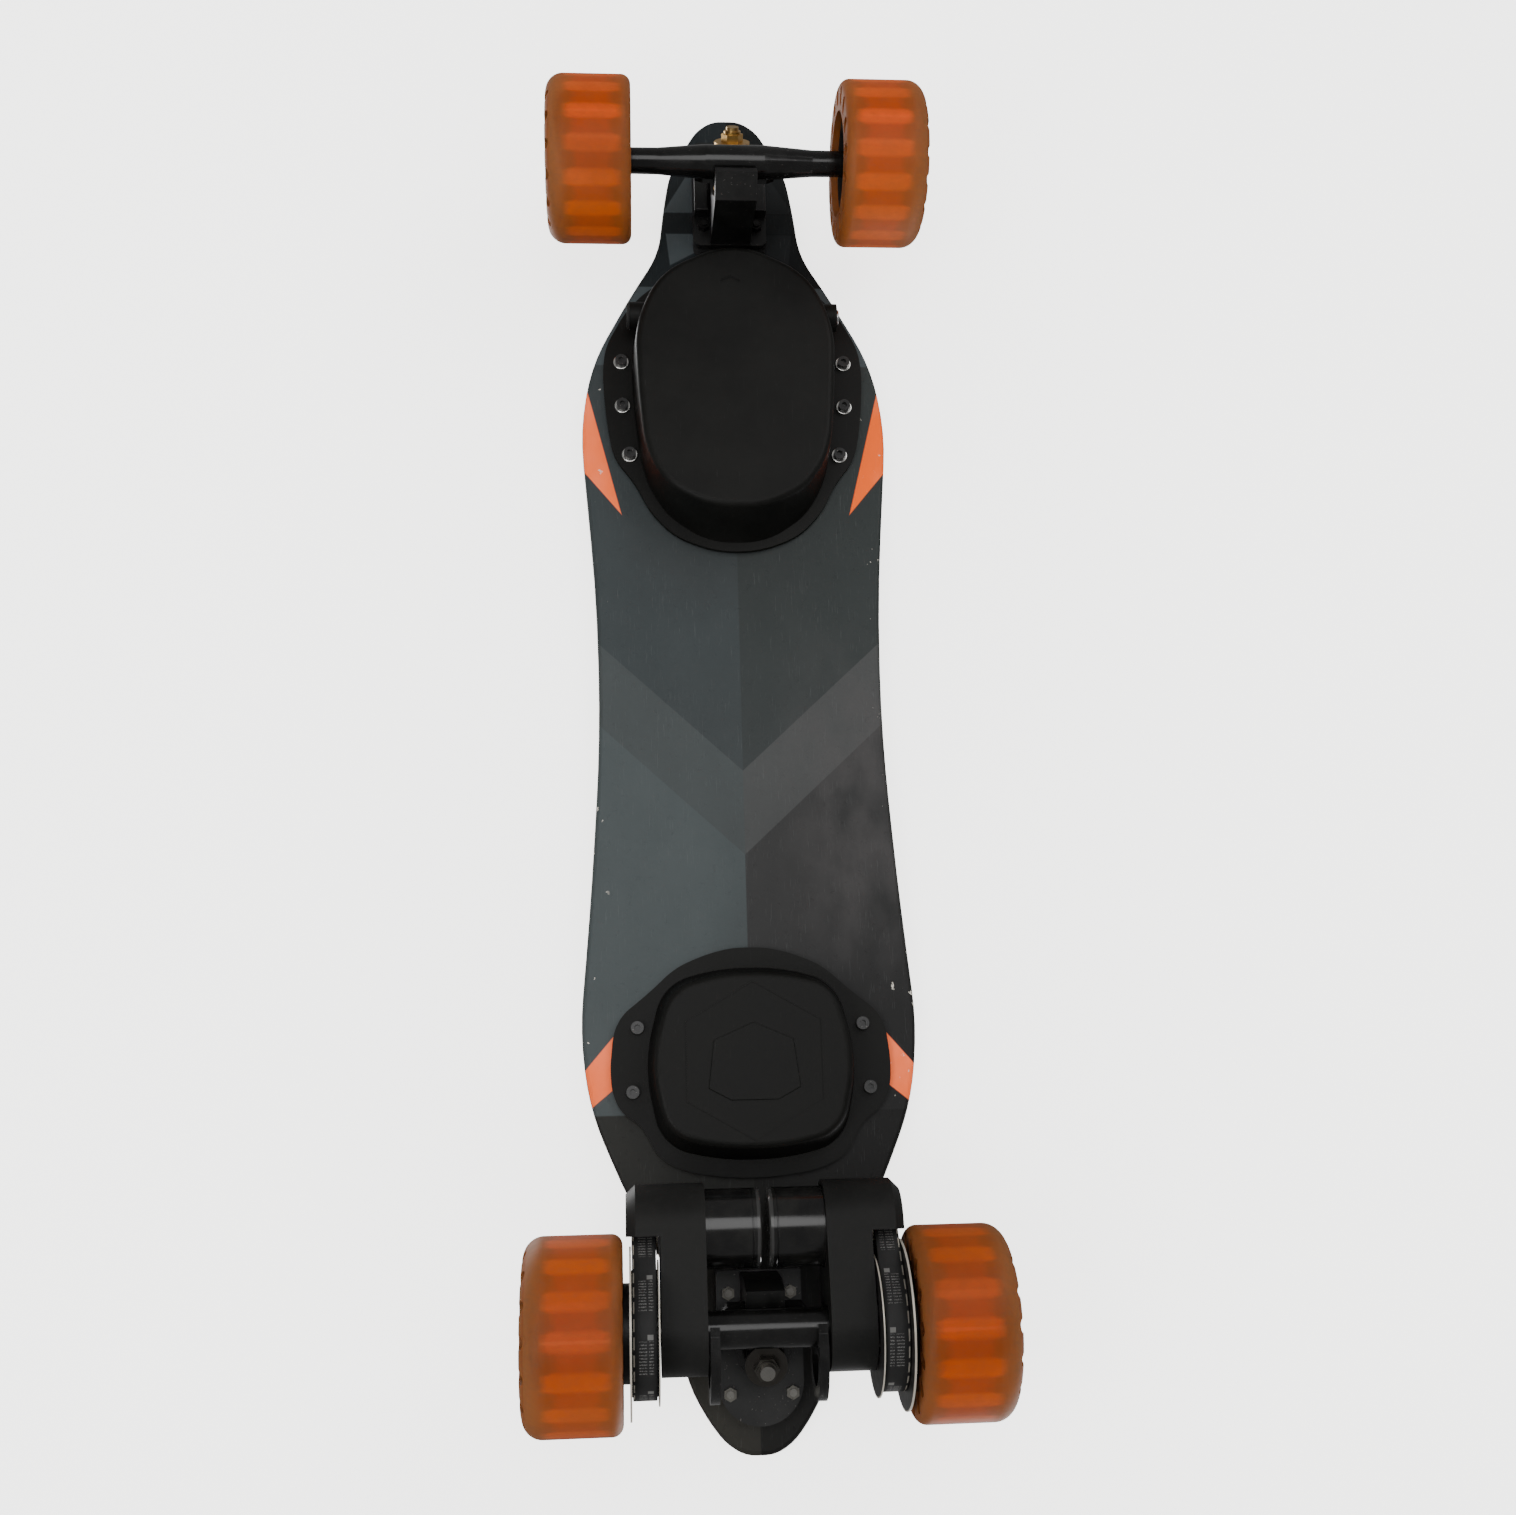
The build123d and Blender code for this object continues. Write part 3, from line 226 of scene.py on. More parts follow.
# ---- finishes -----------------------------------------------------------------------------------
def deck_finish(looks):
    """Printed facets under the deck, ply layers on its edge and clear varnish on top."""
    f = Finish("deck_ply")
    slate = tuple(looks.slate)
    charcoal = tuple(looks.charcoal)
    across = abs(f.y)
    grime = f.noise(160, 4.0, rough=0.6)
    blotch = f.noise(28, 3.0, (1.5, 1, 1), shift=7.0)

    # Left and right of the middle seam the print is warmer and cooler, and the right half is
    # painted darker as shade.
    half = f.y.above(0, 0.8)
    # The right half of each field is painted darker as shade.
    tail_field = half.pick((0.048, 0.058, 0.060), (0.027, 0.027, 0.027))
    chevron = half.pick((0.043, 0.050, 0.051), (0.047, 0.049, 0.049))
    nose_field = half.pick((0.031, 0.038, 0.040), (0.024, 0.029, 0.0285))
    slope = 0.933
    lag = across * slope
    upper = (f.x - lag).above(-38, 0.8)
    lower = (f.x - lag).above(-100.5, 0.8)
    tone = lower.pick(tail_field, chevron)
    tone = upper.pick(tone, nose_field)

    # A dark wash under the tip of the chevron, and painted shade on the deck towards the battery
    # box.
    wash = ((across * -0.35 - f.x).above(-40, 70)) * upper
    tone = (wash * 0.35).pick(tone, (0.030, 0.034, 0.035))
    # Painted shade on the deck beside the battery box.
    shade = (f.x.above(95, 70)) * (1 - across.above(70, 60)) * 0.45
    tone = shade.pick(tone, (0.022, 0.024, 0.024))

    # Side facets beside the boxes and the darker ends, whose right halves are painted darker still
    # as shade.
    nose_side = f.x.above(287, 1) * (1 - f.x.above(355, 1))
    tone = (nose_side * 0.8).pick(tone, slate)
    nose_end = f.x.above(355, 1)
    tone = nose_end.pick(tone, half.pick((0.011, 0.015, 0.017), (0.0055, 0.0070, 0.0075)))
    tail_end = 1 - f.x.above(-283, 1)
    tip = f.x.above(-400, 120).pick((0.024, 0.022, 0.017), (0.014, 0.0138, 0.0115))
    tone = (tail_end * 0.95).pick(tone, half.pick(tip, (0.0060, 0.0058, 0.0045)))
    # Painted shade towards the tail and the board's right edge.
    painted_tail_right_shade = (1 - f.x.above(-120, 170)) * f.y.above(20, 110)
    tone = (painted_tail_right_shade * 0.8).pick(tone, (0.008, 0.008, 0.008))

    # Facets beside the front plate, pale on one side, with a dark band between them.
    pale = (0.060, 0.074, 0.080)
    for side in (1, -1):
        far = [(421, 52 * side), (461, 29 * side), (461, 24 * side), (421, 24 * side)]
        near = [(374, 47 * side), (402, 50 * side), (402, 24 * side), (391, 18 * side)]
        for corners in (far, near):
            ring = corners[::-1] if turns_clockwise(corners) else corners
            mask = f.inside(ring, 0.8)
            tone = (mask * 0.85).pick(tone, pale if side < 0 else charcoal)
    band = f.x.between(403, 420, 1.0)
    tone = (band * 0.6).pick(tone, (0.010, 0.012, 0.013))

    # Orange stripes at the widest parts of the board.
    stripe = tuple(looks.stripe)
    for side in (1, -1):
        wedge = [(163, 87 * side), (222, 135 * side), (290, 140 * side), (290, 118.8 * side)]
        block = [
            (-226.6, 93.7 * side),
            (-266.6, 127.9 * side),
            (-290, 126.3 * side),
            (-269, 100.5 * side),
            (-256, 84.6 * side),
        ]
        for corners in (wedge, block):
            ring = corners[::-1] if turns_clockwise(corners) else corners
            tone = f.inside(ring, 0.7).pick(tone, stripe)

    fine = f.noise(0.9, 2.0)
    scuffs = f.scratches(0.5, 0.34)
    worn = (grime - 0.5) * 0.5 + (blotch - 0.5) * 0.25
    faded = f.start.node(
        "ShaderNodeHueSaturation", {"Saturation": 0.9, "Value": 1.22, "Color": tone}
    )
    tone = worn.above(0.06, 0.3).pick(tone, faded)
    warm = (f.y.above(45, 50)) * f.x.between(-170, 40, 90) * blotch.above(0.45, 0.3)
    tone = (warm * 0.5).pick(tone, (0.060, 0.056, 0.056))
    tone = (scuffs * 0.16).pick(tone, (0.15, 0.16, 0.16))

    # Ply layers: seven veneers, cut across, under a worn black edge.
    layer = f.start.math("FRACT", (f.z - DECK_LOW) * (3.5 / DECK_THICK))
    veneer = layer.between(0.5, 1.2, 0.1)
    grain = f.noise(1.2, 3.0, (14, 14, 0.5))
    light = grain.pick((0.50, 0.36, 0.20), (0.72, 0.56, 0.35))
    dark = grain.pick((0.16, 0.10, 0.055), (0.28, 0.18, 0.10))
    ply = veneer.pick(light, dark)
    rubbed = f.noise(7, 5.0, (4, 4, 1), 0.62) + f.z.above(152.5, 2.5) * 0.13
    ply = (1 - rubbed.above(0.66, 0.05)).pick(ply, (0.016, 0.016, 0.016))
    chip_spots = f.noise(5, 3.0, (1, 1, 0.7), 0.6, 3.0)
    chips = chip_spots.above(0.665, 0.02) * (1 - f.z.above(149, 2))
    edge_low = f.z.above(145.6, 0.5)
    colour = edge_low.pick(tone, ply)
    near_edge = across.above(101, 8) * f.noise(17, 2.0).above(0.6, 0.03)
    colour = (chips * edge_low.most(near_edge)).pick(colour, (0.72, 0.68, 0.60))
    top = f.z.above(155.2, 0.4)
    maple = f.noise(2.5, 4.0, (40, 1, 1)).pick((0.46, 0.30, 0.16), (0.64, 0.46, 0.27))
    colour = top.pick(colour, maple)
    rough = 0.47 + (fine - 0.5) * 0.12 + (grime - 0.5) * 0.22 + scuffs * 0.1
    bump = fine * 0.3 - chips * 2.0 - scuffs * 0.3 + veneer * edge_low * 0.5
    return f.close(colour, rough, bump, 0.05, specular_ior_level=0.18)


def turns_clockwise(corners):
    ends = corners[1:] + corners[:1]
    return sum(a[0] * b[1] - b[0] * a[1] for a, b in zip(corners, ends)) < 0


def grip_finish():
    """Silicon carbide grit: coarse bump, near-black, with a few smoother grains painted bright as
    highlights.
    """
    f = Finish("grip_grit")
    grit = f.cells(0.8)
    patches = f.noise(90, 3.0)
    painted_glint = f.noise(0.55, 0.0).above(0.74, 0.03)
    dust = f.noise(35, 5.0, rough=0.7).above(0.62, 0.2)
    colour = patches.pick((0.012, 0.012, 0.013), (0.024, 0.024, 0.025))
    colour = (dust * 0.25).pick(colour, (0.09, 0.085, 0.078))
    # Painted highlight: the glinting grains are painted pale.
    colour = (painted_glint * 0.6).pick(colour, (0.25, 0.25, 0.26))
    return f.close(colour, 0.92 - painted_glint * 0.5, grit * -1.0, 0.45, specular_ior_level=0.4)


def moulded_black(name, base, grain, depth, extra=None):
    """Moulded black plastic with a spark-eroded grain and drifts of dust."""
    f = Finish(name)
    texture = f.noise(grain, 2.0)
    dust = f.noise(55, 4.0, rough=0.65)
    specks = f.noise(1.3, 1.0, shift=5.0).above(0.8, 0.03) * dust.above(0.55, 0.2)
    scuffs = f.scratches(0.6, 0.3)
    light = tuple(c * 1.9 for c in base)
    colour = dust.above(0.52, 0.4).pick(base, light)
    colour = (specks * 0.2).pick(colour, (0.10, 0.095, 0.09))
    colour = (scuffs * 0.2).pick(colour, (0.05, 0.05, 0.048))
    bump = texture * depth
    if extra:
        relief, sunk, raised = extra(f)
        bump = bump + relief
        # Painted shade in the relief's sunk parts and a painted highlight on its raised parts.
        colour = sunk.pick(colour, tuple(c * 0.4 for c in base))
        colour = raised.pick(colour, tuple(c * 3.0 for c in base))
    rough = 0.50 + (dust - 0.5) * 0.25 + (texture - 0.5) * 0.12
    return f.close(colour, rough, bump, 1.0, specular_ior_level=0.17)


def battery_relief(f):
    """Arrow mark on the battery cover: the bump, what is sunk and painted darker as shade, and
    what is raised and painted lighter as a highlight.
    """
    across = abs(f.y + 3)
    arm = abs(f.x - 338 + across * 0.5).between(-1, 1.0, 0.3) * (1 - across.above(7, 0.4))
    below = 1 - f.z.above(101, 1.0)
    arrow = arm * below
    return arrow * -0.35, arrow * 0.6, arrow * 0


def esc_relief(f):
    """Raised shield and faint hexagon groove: the bump, what is sunk and painted darker as shade,
    and what is raised and painted lighter as a highlight.
    """
    below = 1 - f.z.above(113, 1.0)
    shield = [
        (-219, 0), (-231, -26), (-265, -31), (-272, -16), (-272, 15), (-266, 31), (-231, 26)
    ]
    inner = f.inside(shield, 0.8) * below
    ring = inner - f.inside(shrink(shield, 0.97), 0.8) * below
    hexagon = [(-194, 0), (-218, -46), (-262, -49), (-296, 0), (-262, 49), (-218, 46)]
    outer = f.inside(hexagon, 0.8) - f.inside(shrink(hexagon, 0.975), 0.8)
    groove = outer * below
    return inner * 0.5 - groove * 0.3, (ring + groove * 0.7).most(0.0), (inner - ring) * 0.6


def shrink(corners, factor):
    """The corners drawn in towards their middle."""
    middle = [sum(axis) / len(corners) for axis in zip(*corners)]
    return [tuple(m + (c - m) * factor for c, m in zip(corner, middle)) for corner in corners]


# Darker, duller urethane outside the middle band of the tread, partly painted shade.
DULL_AND_SHADED_URETHANE = ((0.290, 0.069, 0.006), (0.370, 0.093, 0.010))


def urethane_finish(looks, name, centre, inner, side):
    """Cast urethane, clearer and brighter over each cavity, duller and scuffed at both shoulders.
    A band round the middle of the tread is painted lighter as a highlight, and the urethane
    outside it is painted darker as shade.

    The lit band is wider over a cavity than over the wall between two: its half width follows
    the cosine of sixteen times the angle about the axle, flattened.
    """
    f = Finish(name)
    out = f.y * side - inner
    reach = f.radius(centre)
    wave = f.start.math("COSINE", f.turn(centre) * 16.0)
    flat = (wave * 2.6).most(-1.0).least(1.0)
    cloud = f.noise(9, 4.0, rough=0.6)
    haze = f.noise(30, 3.0, shift=3.0)
    grime = f.noise(3.0, 4.0, (1, 2, 1), 0.65, 2.0)
    tread = reach.above(50, 3)
    from_middle = abs(out - 28)
    width = 16.0 + flat * 3.0 + (cloud - 0.5) * 6
    band = (1 - (from_middle - width).above(0, 6)) * tread
    # The rear tyres are darker all over.
    worn = 0.76 if centre[0] < 0 else 1.0
    deep = tuple(c * worn for c in looks.urethane)
    # Painted light: a lighter copy of the urethane in the middle band as a highlight, a darker
    # copy outside it as shade.
    dull_and_shaded = cloud.pick(*[tuple(c * worn for c in tone) for tone in DULL_AND_SHADED_URETHANE])
    lit = cloud.pick(deep, tuple(c * 1.35 for c in deep))
    colour = band.pick(dull_and_shaded, lit)
    wall = (0.5 - flat * 0.5) * (1 - (from_middle - 22).above(0, 10)) * tread
    colour = (wall * 0.45).pick(colour, (0.250, 0.042, 0.001))
    cell = (0.5 + flat * 0.5) * band
    colour = (cell * 0.26 * worn).pick(colour, (0.62, 0.125, 0.0005))
    shoulder = (out.above(51, 12) + (1 - out.above(6, 7)) * 0.6).least(1.0)
    colour = (shoulder * 0.68).pick(colour, (0.190, 0.082, 0.028))
    scuff = grime.above(0.55, 0.22) * (shoulder * 0.5 + 0.22)
    colour = (scuff * 0.55).pick(colour, (0.150, 0.070, 0.030))
    colour = (haze.above(0.55, 0.3) * 0.25).pick(colour, (0.26, 0.075, 0.012))
    hollow = (1 - reach.above(55.4, 0.6)) * reach.above(41.8, 0.6) * out.between(2.0, 60, 2)
    colour = (hollow * 0.5).pick(colour, (0.20, 0.035, 0.001))
    rough = 0.44 + grime * 0.18 + shoulder * 0.12
    bump = grime * 0.6 + cloud * 0.5
    return f.close(
        colour, rough, bump, 0.12,
        subsurface_weight=0.2, subsurface_radius=(0.004, 0.0014, 0.0003), subsurface_scale=1.0,
        specular_ior_level=0.28,
    )


def core_finish():
    """Glass-filled black hub plastic with faint flow streaks."""
    return moulded_black("hub_plastic", (0.012, 0.012, 0.012), 0.5, 0.03)


def coated_metal(name, base, rough, amount=0.7):
    """Sprayed metal: orange-peel gloss, dust, and small chips down to bare metal."""
    f = Finish(name)
    skin = f.noise(1.1, 2.0)
    dust = f.noise(18, 4.0, rough=0.65)
    chips = f.noise(2.4, 3.0, rough=0.7, shift=4.0).above(amount, 0.015)
    colour = dust.above(0.55, 0.35).pick(base, tuple(c * 1.9 + 0.002 for c in base))
    colour = (chips * 0.8).pick(colour, CHIPPED_METAL)
    finish = rough + (dust - 0.5) * 0.22 + (skin - 0.5) * 0.05
    return f.close(
        colour, finish, skin * 0.02 - chips * 0.06, 1.0,
        metal=chips * 0.8, specular_ior_level=0.42,
    )


def bare_metal(name, base, rough, along):
    """Turned or drawn metal: fine lines along one axis, smudges, and darker spots."""
    f = Finish(name)
    stretch = {"y": (1, 25, 1), "none": (1, 1, 1)}[along]
    lines = f.noise(0.3, 2.0, stretch)
    smudge = f.noise(7, 4.0, rough=0.6)
    spots = f.noise(1.3, 3.0, rough=0.7, shift=9.0).above(0.66, 0.06)
    colour = smudge.pick(tuple(c * 0.72 for c in base), base)
    colour = (spots * 0.6).pick(colour, tuple(c * 0.3 for c in base))
    finish = rough + (smudge - 0.5) * 0.25 + (lines - 0.5) * 0.18 + spots * 0.25
    return f.close(colour, finish, lines * 0.5 - spots, 0.02, metal=1.0)


def two_ended(name, front_base, rear_base, rough):
    """Plated hardware that is one colour at the nose and another at the tail."""
    f = Finish(name)
    smudge = f.noise(5, 4.0, rough=0.6)
    spots = f.noise(1.2, 3.0, rough=0.7).above(0.65, 0.06)
    lines = f.noise(0.3, 2.0, (1, 20, 1))
    base = f.x.above(0, 5).pick(rear_base, front_base)
    colour = (smudge * 0.4).pick(base, (0.02, 0.015, 0.01))
    colour = (spots * 0.5).pick(colour, (0.05, 0.035, 0.02))
    return f.close(colour, rough + smudge * 0.2 + spots * 0.2, lines - spots, 0.02, metal=0.95)


def rubber_finish(name, base, grain=0.8):
    """Soft matt rubber, finely pored, with pale bloom."""
    f = Finish(name)
    pores = f.noise(grain, 3.0)
    bloom = f.noise(12, 4.0, rough=0.6)
    colour = bloom.above(0.5, 0.4).pick(base, tuple(c * 1.8 + 0.004 for c in base))
    return f.close(colour, 0.78 + (pores - 0.5) * 0.2, pores, 0.05, specular_ior_level=0.3)


def wrap_finish():
    """Shrink wrap drawn over cells: glossy, with folds across it."""
    f = Finish("cell_wrap")
    folds = f.noise(3, 3.0, (1, 12, 1))
    colour = f.noise(20, 2.0).pick((0.02, 0.07, 0.17), (0.03, 0.10, 0.24))
    return f.close(colour, 0.28 + folds * 0.12, folds, 0.3, coat=0.5, coat_roughness=0.1)


def circuit_finish():
    """Green board below, bright heat spreader and dark blocks above."""
    f = Finish("circuit")
    tracks = f.cells(3.0).above(0.42, 0.04) * f.noise(9, 1.0).above(0.5, 0.05)
    board = tracks.pick((0.008, 0.075, 0.028), (0.02, 0.13, 0.05))
    parts = f.z.above(121, 0.3)
    colour = parts.pick(board, f.noise(6, 1.0).pick((0.02, 0.02, 0.02), (0.10, 0.10, 0.11)))
    return f.close(colour, 0.4 + tracks * 0.1, tracks, 0.05)


def winding_finish():
    """Enamelled copper round laminated teeth."""
    f = Finish("windings")
    turns = f.start.math("SINE", f.y * 8.0)
    # Painted light: the copper is lighter on each turn's crest and darker between turns.
    copper = (turns * 0.5 + 0.5).pick((0.35, 0.10, 0.035), (0.62, 0.24, 0.09))
    return f.close(copper, 0.3 + turns * 0.05, turns, 0.15, metal=0.9)


def can_finish():
    """Anodised motor can: gloss black, a paler machined ring beside the middle gap."""
    f = Finish("motor_can")
    lines = f.noise(0.25, 2.0, (30, 1, 30))
    dust = f.noise(16, 4.0, rough=0.6)
    across = abs(f.y)
    ring = 1 - across.above(5.2, 0.3)
    groove = across.between(7.4, 8.2, 0.2) + across.between(44.6, 45.4, 0.2)
    colour = dust.above(0.55, 0.4).pick((0.004, 0.004, 0.004), (0.011, 0.011, 0.010))
    colour = (ring * 0.7).pick(colour, (0.045, 0.045, 0.044))
    # Painted shade: the grooves are painted darker.
    colour = groove.pick(colour, (0.002, 0.002, 0.002))
    rough = 0.15 + (dust - 0.5) * 0.12 + (lines - 0.5) * 0.08
    return f.close(colour, rough, lines * 0.2 - groove * 3, 0.05, specular_ior_level=0.5)


def pulley_finish():
    """Black anodised pulleys with bare cream rims on their flanges."""
    f = Finish("pulley")
    reach = f.radius(REAR_AXLE)
    rings = f.start.math("SINE", reach * 9.0)
    dust = f.noise(6, 4.0, rough=0.6)
    rim = reach.above(51.2, 0.4) + reach.between(42.6, 44.5, 0.3) * (1 - abs(f.y).above(70, 0.5))
    hub = reach.above(17.5, 0.5)
    base = dust.pick((0.014, 0.014, 0.014), (0.034, 0.033, 0.031))
    colour = rim.least(1.0).pick(base, (0.62, 0.58, 0.50))
    colour = (1 - hub).pick(colour, (0.10, 0.10, 0.098))
    rough = 0.40 + (dust - 0.5) * 0.25
    return f.close(colour, rough, rings * 0.3 + dust * 0.5, 0.04, metal=0.35)


def belt_finish():
    """Black rubber belt: woven facing on the teeth and worn grey print blocks on the back."""
    f = Finish("belt_rubber")
    run = f.start.node("ShaderNodeUVMap", uv_map="run")
    along = f.start.node("ShaderNodeSeparateXYZ", (run,), out=0)
    width = f.start.node("ShaderNodeSeparateXYZ", (run,), out=1)
    back = width.above(0.02, 0.01)
    weave = f.start.math("SINE", along * 60.0) * f.start.math("SINE", width * 90.0)
    # Print: short strokes in rows, in blocks of a few rows with gaps between the blocks.
    rows = f.start.math("FRACT", along * 2.6)
    block = f.start.math("FRACT", along * 0.135 + 0.3)
    strokes = f.noise(0.42, 0.0, (1, 1, 1)).above(0.50, 0.08)
    inked = rows.between(0.30, 0.72, 0.1) * block.between(0.16, 0.70, 0.02)
    columns = width.between(0.16, 0.34, 0.01) + width.between(0.42, 0.74, 0.01)
    print_mask = strokes * inked * columns * back
    dashes = f.start.math("FRACT", along * 0.5).between(0.15, 0.85, 0.05)
    line = width.between(0.905, 0.95, 0.008) * dashes * back
    bars = block.between(0.72, 0.80, 0.01) * width.between(0.17, 0.40, 0.01) * back
    worn = f.noise(5, 4.0, rough=0.6)
    colour = worn.pick((0.010, 0.010, 0.010), (0.020, 0.020, 0.020))
    colour = (print_mask * 0.6).pick(colour, (0.30, 0.30, 0.29))
    colour = (bars * 0.6).pick(colour, (0.26, 0.26, 0.25))
    colour = (line * 0.75).pick(colour, (0.50, 0.47, 0.40))
    return f.close(colour, 0.62 + (worn - 0.5) * 0.2, weave * 0.2 + worn, 0.05,
                   specular_ior_level=0.35)


# ---- surfaces -----------------------------------------------------------------------------------
def grid_surface(name, points, uv):
    """Mesh from an array of points (rows, columns, 3), closed both ways, with a UV per corner.

    Row r and column c give one point; each face joins (r, c), (r + 1, c), (r + 1, c + 1) and
    (r, c + 1), the indices taken round.
    """
    rows, columns = points.shape[:2]
    r, c = np.meshgrid(np.arange(rows), np.arange(columns), indexing="ij")
    corners = np.stack(
        [
            r * columns + c,
            (r + 1) % rows * columns + c,
            (r + 1) % rows * columns + (c + 1) % columns,
            r * columns + (c + 1) % columns,
        ],
        axis=-1,
    ).reshape(-1, 4)
    mesh = bpy.data.meshes.new(name)
    mesh.from_pydata(points.reshape(-1, 3).tolist(), [], corners.tolist())
    layer = mesh.uv_layers.new(name="run")
    along = np.stack([uv[0][r], uv[0][r + 1], uv[0][r + 1], uv[0][r]], axis=-1)
    width = np.stack([uv[1][c], uv[1][c], uv[1][c + 1], uv[1][c + 1]], axis=-1)
    layer.data.foreach_set("uv", np.stack([along, width], axis=-1).astype(np.float32).ravel())
    mesh.polygons.foreach_set("use_smooth", np.ones(len(mesh.polygons), dtype=bool))
    mesh.update()
    made = bpy.data.objects.new(name, mesh)
    bpy.context.scene.collection.objects.link(made)
    return made


def belt_path(places, wheel, motor, wheel_radius, motor_radius):
    """Points and outward normals along an open belt's pitch line, for distances along it.

    The normal's angle, the centre that it is drawn from and that centre's radius each change
    evenly between the four tangent points: the angle over the arcs, the other two over the
    straight runs. A point is the centre plus the radius times the normal.
    """
    span = math.dist(wheel, motor)
    tilt = math.atan2(motor[1] - wheel[1], motor[0] - wheel[0])
    spread = math.acos((wheel_radius - motor_radius) / span)
    straight = span * math.sin(spread)
    arcs = [wheel_radius * 2 * (math.pi - spread), straight, motor_radius * 2 * spread, straight]
    stops = np.concatenate([[0], np.cumsum(arcs)])
    full = 2 * math.pi
    turns = tilt + np.array([spread, full - spread, full - spread, full + spread, full + spread])
    distance = places * stops[-1]
    angle = np.interp(distance, stops, turns)
    radius = np.interp(
        distance, stops, [wheel_radius, wheel_radius, motor_radius, motor_radius, wheel_radius]
    )
    centre_x = np.interp(distance, stops, [wheel[0], wheel[0], motor[0], motor[0], wheel[0]])
    centre_z = np.interp(distance, stops, [wheel[1], wheel[1], motor[1], motor[1], wheel[1]])
    normal = np.stack([np.cos(angle), np.sin(angle)], axis=-1)
    start = arcs[0] / 2
    return np.stack([centre_x, centre_z], axis=-1) + radius[:, None] * normal, normal, start


def toothed_belt(name, side, looks):
    """Closed belt: a rounded rectangle carried round the pulleys, its inner side raised in teeth.

    A tooth's height follows 1.25 times the cosine of the distance over one pitch, plus 0.45,
    held between 0 and 1, and counted from the middle of the wheel pulley's far side.
    """
    pitch = looks.belt_pitch
    teeth = BELT_TEETH
    steps = teeth * STEPS_PER_TOOTH
    places = np.arange(steps) / steps
    wheel = (REAR_AXLE[0] * MM, REAR_AXLE[1] * MM)
    raised = math.sqrt(MOTOR_SPAN**2 - MOTOR_AHEAD**2)
    motor = ((REAR_AXLE[0] + MOTOR_AHEAD) * MM, REAR_AXLE[1] * MM + raised * MM)
    wheel_radius = PULLEY_TEETH["wheel"] * pitch / (2 * math.pi)
    motor_radius = PULLEY_TEETH["motor"] * pitch / (2 * math.pi)
    line, normal, start = belt_path(places, wheel, motor, wheel_radius, motor_radius)
    phase = (places * teeth * pitch - start) / pitch
    height = np.clip(1.25 * np.cos(2 * math.pi * phase) + 0.45, 0, 1)
    half = looks.belt_width / 2
    eased = 0.35 * MM
    back = 1.75 * MM
    land = -0.50 * MM
    tip = -2.20 * MM
    inner = land + (tip - land) * height
    # Across the section: along the back, down the outer side, along the teeth, up the inner side.
    across = np.array([-half + eased, -half * 0.3, half * 0.3, half - eased, half, half,
                       half - eased, -half + eased, -half, -half])
    on_back = np.array([1, 1, 1, 1, 1, 0, 0, 0, 0, 1])
    ease = np.array([0, 0, 0, 0, -eased, eased, 0, 0, eased, -eased])
    depth = np.where(on_back[None, :] == 1, back, inner[:, None]) + ease[None, :]
    plan = line[:, None, :] + depth[:, :, None] * normal[:, None, :]
    y = side * (looks.belt_middle + across)
    points = np.stack([plan[..., 0], np.broadcast_to(y, depth.shape), plan[..., 1]], axis=-1)
    width = np.array([0.04, 0.35, 0.65, 0.96, 0, 0, 0, 0, 0, 0, 0])
    along = np.append(places, 1.0) * teeth
    if side > 0:
        points = points[::-1]
        along = along[::-1]
    return grid_surface(name, points, (along, width))


# ---- settings -----------------------------------------------------------------------------------
def colour_setting(name, description, default):
    return bpy.props.FloatVectorProperty(
        name=name, description=description, default=default, size=3, subtype="COLOR",
        min=0.0, max=1.0,
    )


class SkateLooks(bpy.types.PropertyGroup):
    slate: colour_setting("Slate print", "Cool facets by the nose", (0.052, 0.066, 0.072))
    charcoal: colour_setting("Charcoal print", "Dark facets by the nose", (0.012, 0.014, 0.015))
    stripe: colour_setting("Stripes", "Stripes at the deck's wide parts", (1.0, 0.125, 0.001))
    urethane: colour_setting("Urethane", "Cast wheel tyres", (0.45, 0.064, 0.0005))
    cover: colour_setting("Covers", "Moulded boxes under the deck", (0.0040, 0.0040, 0.0035))
    coat: colour_setting("Truck coat", "Sprayed trucks and motor mounts", (0.0035, 0.0035, 0.0033))
    belt_pitch: bpy.props.FloatProperty(
        name="Belt pitch", description="From one belt tooth to the next", default=5 * MM,
        unit="LENGTH", min=2 * MM, max=8 * MM,
    )
    belt_width: bpy.props.FloatProperty(
        name="Belt width", description="Across the belt", default=15 * MM,
        unit="LENGTH", min=8 * MM, max=16 * MM,
    )
    belt_middle: bpy.props.FloatProperty(
        name="Belt middle", description="From the board's middle line to the belt's",
        default=76.8 * MM, unit="LENGTH",
    )


class StudioSettings(bpy.types.PropertyGroup):
    floor: colour_setting("Floor", "Studio floor and backdrop", (0.84, 0.84, 0.83))
    lamp_power: bpy.props.FloatProperty(
        name="Lamp power", description="Main soft lamp", default=21.0, unit="POWER"
    )


def paint(material, *nodes):
    """Gives CAD nodes a finish. Their meshes and places stay as they are."""
    for node in nodes:
        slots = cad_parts[node].data.materials
        if len(slots) == 0:
            slots.append(material)
        for index in range(len(slots)):
            slots[index] = material


def pairs(*names):
    """The left and right node of each name."""
    return [f"{side}_{name}" for name in names for side in ("left", "right")]


